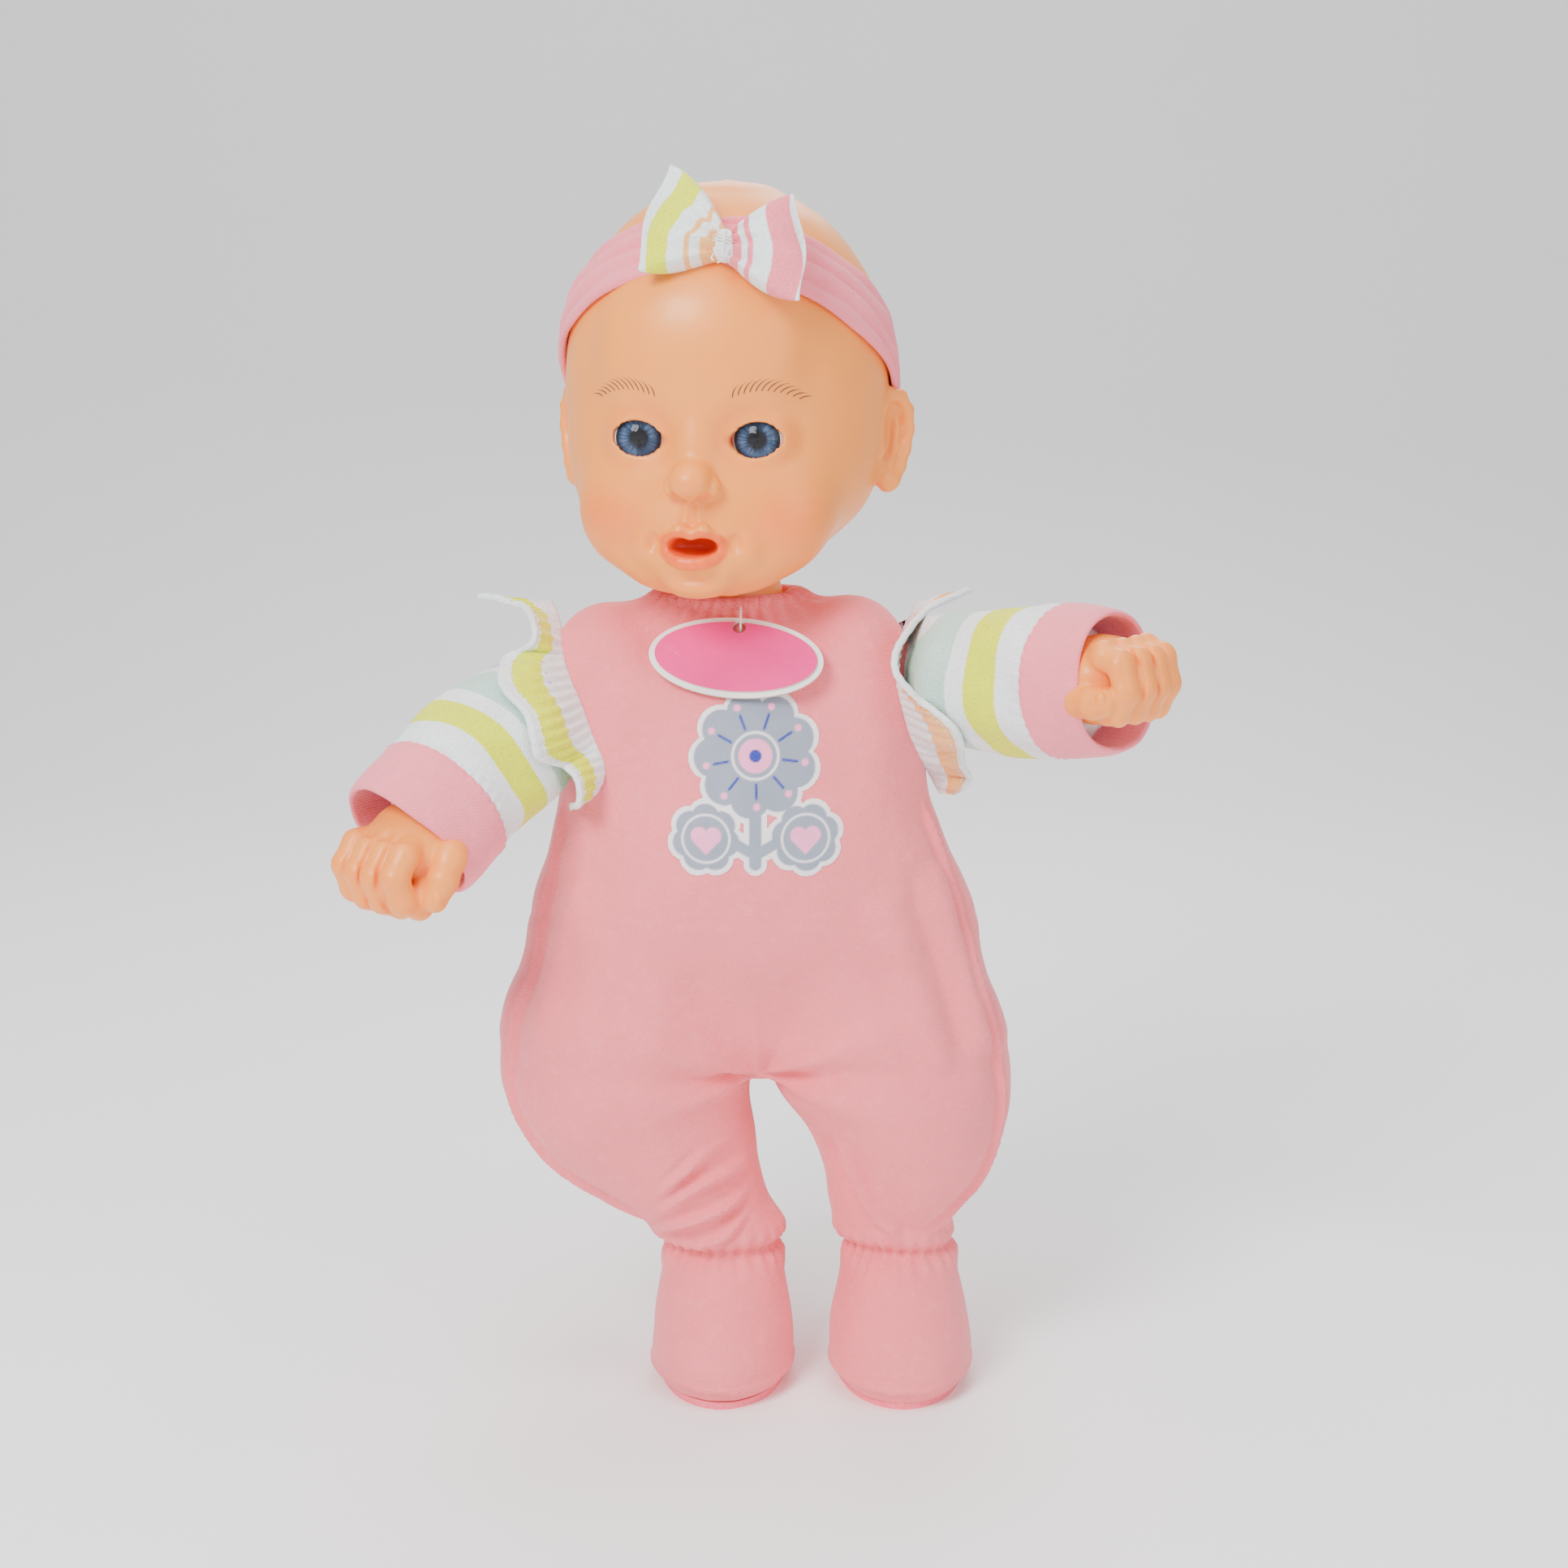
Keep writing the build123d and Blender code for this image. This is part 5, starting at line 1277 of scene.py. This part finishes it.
# Each loop: angle of its axis, length, half heights at the knot and at the edge, lean of the edge
BOW_LOOPS = {"left_hand": (157, 22.5, 3.0, 16.2, 7.0), "right_hand": (-3, 20.5, 3.0, 16.0, -5.0)}


def make_bow():
    rows, columns = 30, 44
    for number, (name, (angle, length, low, high, lean)) in enumerate(BOW_LOOPS.items()):
        turn = math.radians(angle)
        axis = np.array([math.cos(turn), 0, math.sin(turn)])
        across = np.array([-math.sin(turn), 0, math.cos(turn)]) * (1 if number else -1)
        u = np.linspace(0, 1, rows)
        v = np.linspace(-1, 1, columns)
        uu, vv = np.meshgrid(u, v, indexing="ij")
        half = low + (high - low) * np.sin(uu * np.pi / 2) ** 1.1
        pillow = ((np.sin(np.pi * np.clip(uu * 0.93 + 0.10, 0, 1)) ** 0.75)
                  * np.sqrt(np.clip(1 - np.abs(vv) ** 3.0, 0, 1)))
        pleats = np.cos(np.pi * (3.5 * vv + 0.3)) * (1 - uu) ** 1.3 * 1.5 * smoothstep(0, 0.1, uu)
        edge = 1.2 * np.sin(2.4 * vv + number) * uu ** 2
        reach = length * (uu + 0.055 * np.cos(np.pi * vv) * uu) + lean * vv * uu ** 1.6 * 0.6
        sides = []
        for face in (-1, 1):
            depth = face * (5.6 * pillow + 0.25) + pleats * (1.0 if face < 0 else 0.5) + edge - 2.2 * uu
            xyz = (reach[..., None] * axis + (half * vv)[..., None] * across
                   + depth[..., None] * np.array([0, 1, 0]))
            sides.append(xyz.reshape(-1, 3))
        points = np.concatenate(sides)
        count = rows * columns
        faces = net_faces(rows, columns)
        faces = [f[::-1] for f in faces] if number == 0 else faces
        back = [tuple(count + k for k in f[::-1]) for f in faces]
        rim = ([i * columns for i in range(rows)] + [(rows - 1) * columns + j for j in range(1, columns)]
               + [i * columns + columns - 1 for i in range(rows - 2, -1, -1)] + [j for j in range(columns - 2, 0, -1)])
        closing = []
        for a, b in zip(rim, rim[1:] + rim[:1]):
            quad = (a, b, count + b, count + a)
            closing.append(quad if number else quad[::-1])
        mark = np.concatenate([(uu + 0.05 * np.sin(3 * vv)).reshape(-1)] * 2) * 20
        stripes = BOW_STRIPES[number]
        loop = new_piece("bow_loop_" + name, moved(points, BOW_PLACE), faces + back + closing,
                         stripes, {"along": mark})
        refine(loop)
        if number == 0:
            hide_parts("bow_loops")
        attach(loop, "head")
    make_knot()


def make_knot():
    """The gathered middle of the bow, wound with thread."""
    rows, columns = 22, 48
    points = []
    for i in range(rows):
        t = math.pi * (i + 0.5) / rows
        for j in range(columns):
            a = 2 * math.pi * j / columns
            crease = 1 + 0.12 * math.cos(9 * a + 0.4) * math.sin(t)
            points.append((2.9 * math.sin(t) * math.cos(a) * crease, -1.6 + 4.0 * math.sin(t) * math.sin(a) * crease,
                           4.6 * math.cos(t)))
    faces = net_faces(rows, columns, wrap_columns=True)
    faces.append(tuple(range(columns))[::-1])
    faces.append(tuple((rows - 1) * columns + j for j in range(columns)))
    knot = new_piece("bow_knot", moved(points, BOW_PLACE), [f[::-1] for f in faces], BOW_STRIPES[1],
                     {"along": np.full(len(points), 1.0)})
    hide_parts("bow_wrap")
    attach(knot, "head")
    paths = []
    for z in (-0.9, 0.0, 0.8):
        paths.append([(3.25 * math.cos(a), -1.7 + 4.35 * math.sin(a), z + 0.4 * math.sin(2 * a))
                      for a in np.linspace(0, 2 * math.pi, 40)])
    paths.append([(1.6 * math.sin(t * 2.2) - 0.6, -6.0 - 0.5 * math.sin(3 * t), -6.0 - 1.6 * math.cos(t * 2.2))
                  for t in np.linspace(0, 2.6, 24)])
    points, faces = tube_mesh(paths, 6, lambda n, t: 0.22)
    thread = new_piece("bow_thread", moved(points, BOW_PLACE), faces, THREAD)
    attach(thread, "head")


# --- Print, neck binding and back closure, laid on the romper ---

def on_cloth(tree, x, z, from_front=True):
    """The cloth's surface at x, z, seen from the front or from the back."""
    origin, way = ((Vector((x, -90, z)), Vector((0, 1, 0))) if from_front
                   else (Vector((x, 90, z)), Vector((0, -1, 0))))
    hit, normal, _, _ = tree.ray_cast(origin, way)
    return (None, None) if hit is None else (np.array(hit), np.array(normal))


def disc(x, z, cx, cz, r):
    return np.hypot(x - cx, z - cz) - r


def blossom(x, z, cx, cz, r, petals, deep, turn=0.0):
    angle = np.arctan2(z - cz, x - cx) + turn
    return np.hypot(x - cx, z - cz) - r * (1 - deep + deep * np.abs(np.cos(petals * angle / 2)) ** 0.7)


def bar(x, z, ax, az, bx, bz, r):
    t = np.clip(((x - ax) * (bx - ax) + (z - az) * (bz - az)) / ((bx - ax) ** 2 + (bz - az) ** 2), 0, 1)
    return np.hypot(x - ax - t * (bx - ax), z - az - t * (bz - az)) - r


def heart(x, z, cx, cz, r):
    lobes = np.minimum(disc(x, z, cx - 0.48 * r, cz + 0.3 * r, 0.56 * r),
                       disc(x, z, cx + 0.48 * r, cz + 0.3 * r, 0.56 * r))
    point = np.abs(x - cx) * 0.72 + np.abs(z - cz + 0.02 * r) * 0.70 - 0.70 * r
    return np.minimum(lobes, np.maximum(point, z - cz - 0.3 * r))


def motif(x, z):
    """Three round flowers on short stems. Distances: whole print, grey, pink, navy, white inside."""
    big = blossom(x, z, 0.8, 189.5, 16.8, 9, 0.15, 0.3)
    low = [blossom(x, z, cx, 167.5, 9.2, 7, 0.15, t) for cx, t in ((-12.6, 0.2), (14.4, 0.6))]
    stems = np.minimum.reduce([bar(x, z, 0.8, 176, 0.8, 160.5, 1.7), bar(x, z, 0.8, 163, -8, 168, 1.5),
                               bar(x, z, 0.8, 163, 9.6, 168, 1.5)])
    grey = np.minimum.reduce([big, *low, stems])
    whole = grey - 1.5
    pink = np.minimum.reduce([heart(x, z, -12.6, 167.0, 4.0), heart(x, z, 14.4, 167.0, 4.0),
                              disc(x, z, 0.8, 189.5, 4.6)])
    navy = disc(x, z, 0.8, 189.5, 1.7)
    for petal in range(9):
        a = 2 * math.pi * (petal + 0.5) / 9 + 0.2
        c, d = math.cos(a), math.sin(a)
        navy = np.minimum(navy, bar(x, z, 0.8 + 7.6 * c, 189.5 + 7.6 * d,
                                    0.8 + 11.4 * c, 189.5 + 11.4 * d, 0.36))
        pink = np.minimum(pink, disc(x, z, 0.8 + 13.6 * c, 189.5 + 13.6 * d, 0.95))
    inner = np.abs(disc(x, z, 0.8, 189.5, 6.2)) - 0.35
    for cx in (-12.6, 14.4):
        inner = np.minimum(inner, np.abs(disc(x, z, cx, 167.3, 6.4)) - 0.3)
    return whole, grey, pink, navy, inner


def make_print(tree):
    step = 0.33
    xs, zs = np.arange(-24.5, 26.5, step), np.arange(154, 209.5, step)
    gx, gz = np.meshgrid(xs, zs, indexing="ij")
    whole = motif(gx, gz)[0]
    keep = whole < 0.45 * step
    slope_x, slope_z = np.gradient(whole, step)
    shift = np.clip(whole + 0.02, -0.5 * step, 0.5 * step) * (np.abs(whole) < 0.75 * step)
    px, pz = gx - shift * slope_x, gz - shift * slope_z
    index, points = -np.ones(gx.shape, int), []
    for i, j in zip(*np.nonzero(keep)):
        hit, normal = on_cloth(tree, px[i, j], pz[i, j])
        lift = 0.16 + 0.10 * float(smoothstep(0.1, -0.7, whole[i, j]))
        index[i, j] = len(points)
        points.append(hit + normal * lift)
    corners = np.stack([index[:-1, :-1], index[1:, :-1], index[1:, 1:], index[:-1, 1:]], -1).reshape(-1, 4)
    faces = corners[(corners >= 0).all(1)]
    used, new = np.unique(faces, return_inverse=True)
    points = np.array(points)[used]
    faces = new.reshape(faces.shape)
    flat = np.stack([px[keep], pz[keep]], 1)[used]
    _, grey, pink, navy, inner = motif(flat[:, 0], flat[:, 1])
    marks = {key: smoothstep(0.2, -0.2, value) for key, value in
             (("grey", grey), ("pink", pink), ("navy", navy), ("inner", inner))}
    f = Finish("print_ink", 0.55)
    tint = f.mix(f.mark("grey"), f.shade(colour(238, 236, 236), 0.02, 6),
                 f.shade(colour(142, 148, 158), 0.05, 9))
    tint = f.mix(f.mark("inner"), tint, colour(236, 234, 236))
    tint = f.mix(f.mark("pink"), tint, f.shade(colour(240, 176, 200), 0.04, 5))
    tint = f.mix(f.mark("navy"), tint, colour(44, 58, 128))
    crack = f.band(f.cells(1.1, feature="DISTANCE_TO_EDGE"), 0.03, 0.0)
    f.paint(f.mix(f.math("MULTIPLY", crack, 0.20), tint, PINK))
    f.bump(f.cells(0.62), 0.07)
    ink = new_piece("chest_print", points, faces, f.material, marks)
    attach(ink, "torso")


def make_binding():
    """The bound and gathered neck edge."""
    columns = 220
    section = [(19.6, -3.4), (20.9, -2.2), (21.2, -0.6), (20.6, 1.2), (19.0, 2.0), (17.2, 1.7), (16.3, 0.4),
               (16.6, -1.6), (17.6, -3.2)]

    def shape(i, along, radius, turns):
        gather = 0.38 * np.sin(46 * turns) * (radius > 18)
        return radius + gather, 0.25 * np.sin(5 * turns) + 0 * turns
    points = ring_tube([(z, r) for r, z in section], columns, shape) + np.array(NECK)
    faces = net_faces(len(section), columns, wrap_rows=True, wrap_columns=True)
    binding = new_piece("bound_neck_edge", points, faces, ROMPER_CLOTH)
    refine(binding)
    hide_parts("neck_binding")
    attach(binding, "torso")


def make_closure(tree):
    """An overlapping flap down the back with two rows of stitching."""
    low, high, half = 124.0, 226.0, 6.5
    zs, xs = np.arange(low, high, 0.8), np.linspace(-half, half, 20)
    lines, thread_paths = [], []
    for z in zs:
        middle = BODY_X + TRUNK_LEAN * (z - HIP_Z) / TRUNK_HEIGHT
        row = []
        for dx in xs:
            hit, normal = on_cloth(tree, middle + dx, z, False)
            share = dx / half
            lift = 1.5 * float(smoothstep(-1.0, -0.9, share) * smoothstep(1.0, 0.80, share))
            lift *= float(smoothstep(low, low + 2, z))
            dip = 0.30 * (bell(dx, -4.9, 0.5) + bell(dx, 4.3, 0.5))
            row.append(hit + normal * (lift - dip - 0.25))
        lines.append(row)
    points = np.array(lines).reshape(-1, 3)
    flap = new_piece("back_placket", points, [f[::-1] for f in net_faces(len(zs), len(xs))], ROMPER_CLOTH)
    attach(flap, "torso")
    grid = np.array(lines)
    for column in (1, 18):
        for i in range(3, len(zs) - 4, 4):
            thread_paths.append([tuple(grid[i + k, column] + np.array([0, 0.10, 0])) for k in range(3)])
    points, faces = tube_mesh(thread_paths, 5, lambda n, t: 0.16)
    thread = new_piece("placket_stitches", points, faces, THREAD)
    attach(thread, "torso")


TAG_TURN = 15.0


def turned_card(node, material):
    """A CAD card, turned about its eyelet in the cards' plane."""
    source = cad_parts[node]
    points = [source.matrix_world @ v.co / MM for v in source.data.vertices]
    low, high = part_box("tag_loop")
    eyelet = Vector(((low.x + high.x) / 2, (low.y + high.y) / 2, low.z + 1.2 * MM)) / MM
    low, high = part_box("tag_back_card")
    down = ((low + high) / 2 / MM - eyelet).normalized()
    plane = Vector((1, 0, 0)).cross(down).normalized()
    turn = Matrix.Translation(eyelet) @ Matrix.Rotation(math.radians(TAG_TURN), 4, plane) \
        @ Matrix.Translation(-eyelet)
    card = new_piece(node.replace("tag", "turned"), [turn @ p for p in points],
                     [tuple(f.vertices) for f in source.data.polygons], material, smooth=False)
    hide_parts(node)
    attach(card, "hang_tag")


def make_tag():
    """Printed card with a soft sheen, worn pale at its edges, on a twisted thread."""
    for node, tint, rough in (("tag_front_card", colour(204, 48, 130), 0.30),
                              ("tag_back_card", colour(240, 240, 238), 0.4)):
        f = Finish(node, rough, Coat_Weight=0.25)
        fibres = f.noise(0.5, 5)
        fibre_tint = tuple(min(1, c * 1.12 + 0.02) for c in tint[:3]) + (1,)
        card = f.mix(f.band(fibres, 0.62, 0.80), f.shade(tint, 0.07, 16), fibre_tint)
        geometry = f.node("ShaderNodeNewGeometry").outputs["Normal"]
        split = f.node("ShaderNodeSeparateXYZ", {0: geometry}).outputs
        facing = f.math("ABSOLUTE", f.math("ADD", f.math("MULTIPLY", split["Y"], -0.79),
                                           f.math("MULTIPLY", split["Z"], 0.60)))
        edge = f.band(facing, 0.75, 0.45)
        f.paint(f.mix(edge, card, colour(206, 190, 178)))
        f.rough(fibres, rough - 0.05, rough + 0.12)
        f.bump(fibres, 0.02)
        turned_card(node, f.material)
    low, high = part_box("tag_loop")
    centre = (np.array(low) + np.array(high)) / 2 / MM
    radius = (high.z - low.z) / 2 / MM - 0.35
    paths = []
    for strand in (0, np.pi):
        ring = []
        for a in np.linspace(0, 2 * np.pi, 90):
            twist = 13 * a + strand
            r = radius + 0.16 * np.cos(twist)
            ring.append((centre[0] + 0.16 * np.sin(twist), centre[1] + r * np.cos(a), centre[2] + r * np.sin(a)))
        paths.append(ring)
    points, faces = tube_mesh(paths, 7, lambda n, t: 0.21)
    loop = new_piece("tag_thread", points, faces, THREAD)
    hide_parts("tag_loop")
    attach(loop, "torso")


def make_soles():
    f = Finish("sole_cloth", 0.9, Sheen_Weight=0.2)
    f.paint(f.mix(f.band(f.cells(0.9), 0.2, 0.7), f.shade(CUFF_PINK, 0.06, 12), colour(226, 136, 146)))
    f.bump(f.cells(0.9), 0.12)
    cad_finish(f.material, "sole_right", "sole_left")


def finish_inside():
    """The neck joint, the tie and the sound module keep their CAD shapes."""
    tie = plastic_finish("tie_nylon", colour(226, 226, 220), 0.35)
    case = plastic_finish("module_plastic", colour(214, 216, 218), 0.42)
    cap = plastic_finish("button_plastic", colour(238, 240, 242), 0.30)
    vinyl = skin_finish("vinyl_neck")
    steel = metal_finish("steel", colour(190, 192, 196))
    brass = metal_finish("brass", colour(206, 176, 104))
    cad_finish(tie, "neck_tie")
    cad_finish(vinyl, "neck_plug")
    cad_finish(case, "sound_case_front", "sound_case_back", "battery_door", "speaker_basket", "tact_switch")
    cad_finish(cap, "press_button")
    cad_finish(steel, "battery_door_screw", "case_screws", "button_spring", "speaker_magnet", "button_cells")
    cad_finish(brass, "battery_contacts")
    cad_finish(board_finish("board_green"), "circuit_board")
    cad_finish(plastic_finish("chip_epoxy", colour(34, 34, 38), 0.5), "sound_chip")
    cad_finish(paper_finish("cone_paper", colour(60, 58, 56)), "speaker_cone")
    f = Finish("hook_tape", 0.85, Sheen_Weight=0.2)
    f.paint(f.shade(colour(232, 226, 226), 0.06, 2))
    f.bump(f.cells(0.5), 0.15)
    cad_finish(f.material, "hook_strip", "loop_strip")


# --- Camera and light ---

def make_stage():
    scene = bpy.context.scene
    camera = bpy.data.objects.new("camera", bpy.data.cameras.new("camera"))
    scene.collection.objects.link(camera)
    camera.location = (0.0086, -0.77495, 0.3139)
    camera.rotation_euler = (math.radians(80.0), 0, 0)
    camera.data.lens = 64.1
    camera.data.sensor_width = 36.0
    camera.data.clip_start = 0.01
    scene.camera = camera

    sweep = [(-2.5, 0.0), (0.9, 0.0)]
    sweep += [(0.9 + 0.8 * math.sin(a), 0.8 - 0.8 * math.cos(a)) for a in np.linspace(0.1, math.pi / 2, 24)]
    sweep += [(1.7, 3.0)]
    points = [(x, y, z) for y, z in sweep for x in (-4.0, 4.0)]
    floor = bpy.data.meshes.new("backdrop")
    floor.from_pydata(points, [], net_faces(len(sweep), 2))
    floor.polygons.foreach_set("use_smooth", np.full(len(floor.polygons), True))
    paper = Finish("backdrop_paper", 0.9)
    paper.paint(paper.shade((0.97, 0.97, 0.97, 1), 0.005, 60))
    floor.materials.append(paper.material)
    floor = bpy.data.objects.new("backdrop", floor)
    scene.collection.objects.link(floor)

    world = bpy.data.worlds.new("studio")
    scene.world = world
    world.use_nodes = True
    world.node_tree.nodes["Background"].inputs["Color"].default_value = (0.93, 0.93, 0.95, 1)
    world.node_tree.nodes["Background"].inputs["Strength"].default_value = 0.62
    for name, place, size, power in (
        ("key", (-0.55, -0.95, 0.95), 0.5, 21.0),
        ("fill", (0.85, -0.75, 0.55), 0.8, 5.0),
        ("top", (0.0, -0.1, 1.3), 0.9, 9.0),
        ("back", (0.1, 0.9, 0.9), 0.6, 6.0),
    ):
        light = bpy.data.lights.new(name, "AREA")
        light.size = size
        light.energy = power
        lamp = bpy.data.objects.new(name, light)
        scene.collection.objects.link(lamp)
        lamp.location = place
        aim = Vector((0.0, 0.0, 0.18)) - Vector(place)
        lamp.rotation_euler = aim.to_track_quat("-Z", "Y").to_euler()


# --- Everything together ---

THREAD = paper_finish("white_thread", colour(240, 238, 232), 0.7)
ROMPER_CLOTH = jersey_finish("trim_jersey", PINK)
CUFF_CLOTH = jersey_finish("cuff_jersey", CUFF_PINK, fine=0.75)
SLEEVE_CLOTH = striped_finish("sleeve_stripes", "along", SLEEVE_STRIPES, 76.5)
RUFFLE_CLOTH = {side: striped_finish("ruffle_stripes_" + side, "along", stripes, sum(w for w, _ in stripes))
                for side, stripes in RUFFLE_STRIPES.items()}
BOW_STRIPES = [
    striped_finish("bow_stripes_cool", "along", [(3.6, PEACH), (2.2, WHITE), (1.2, PEACH), (4.0, WHITE),
                                                (6.0, LIME), (4.5, WHITE)], 21.5),
    striped_finish("bow_stripes_warm", "along", [(1.8, WHITE), (2.6, ROSE), (1.6, WHITE), (1.4, ROSE),
                                                (4.6, WHITE), (6.8, ROSE), (2.7, WHITE)], 21.5),
]

face_tree = make_head()
make_brows(face_tree)
make_eyes()
make_hands()
romper_tree = make_romper()
for side in SIDES:
    sleeve = make_sleeve(side, romper_tree)
    make_cuff(side)
    make_ruffle(side, tree_of(bpy.data.objects["romper_body"], sleeve))
make_headband()
make_bow()
make_print(romper_tree)
make_binding()
make_closure(romper_tree)
make_tag()
make_soles()
finish_inside()
make_stage()
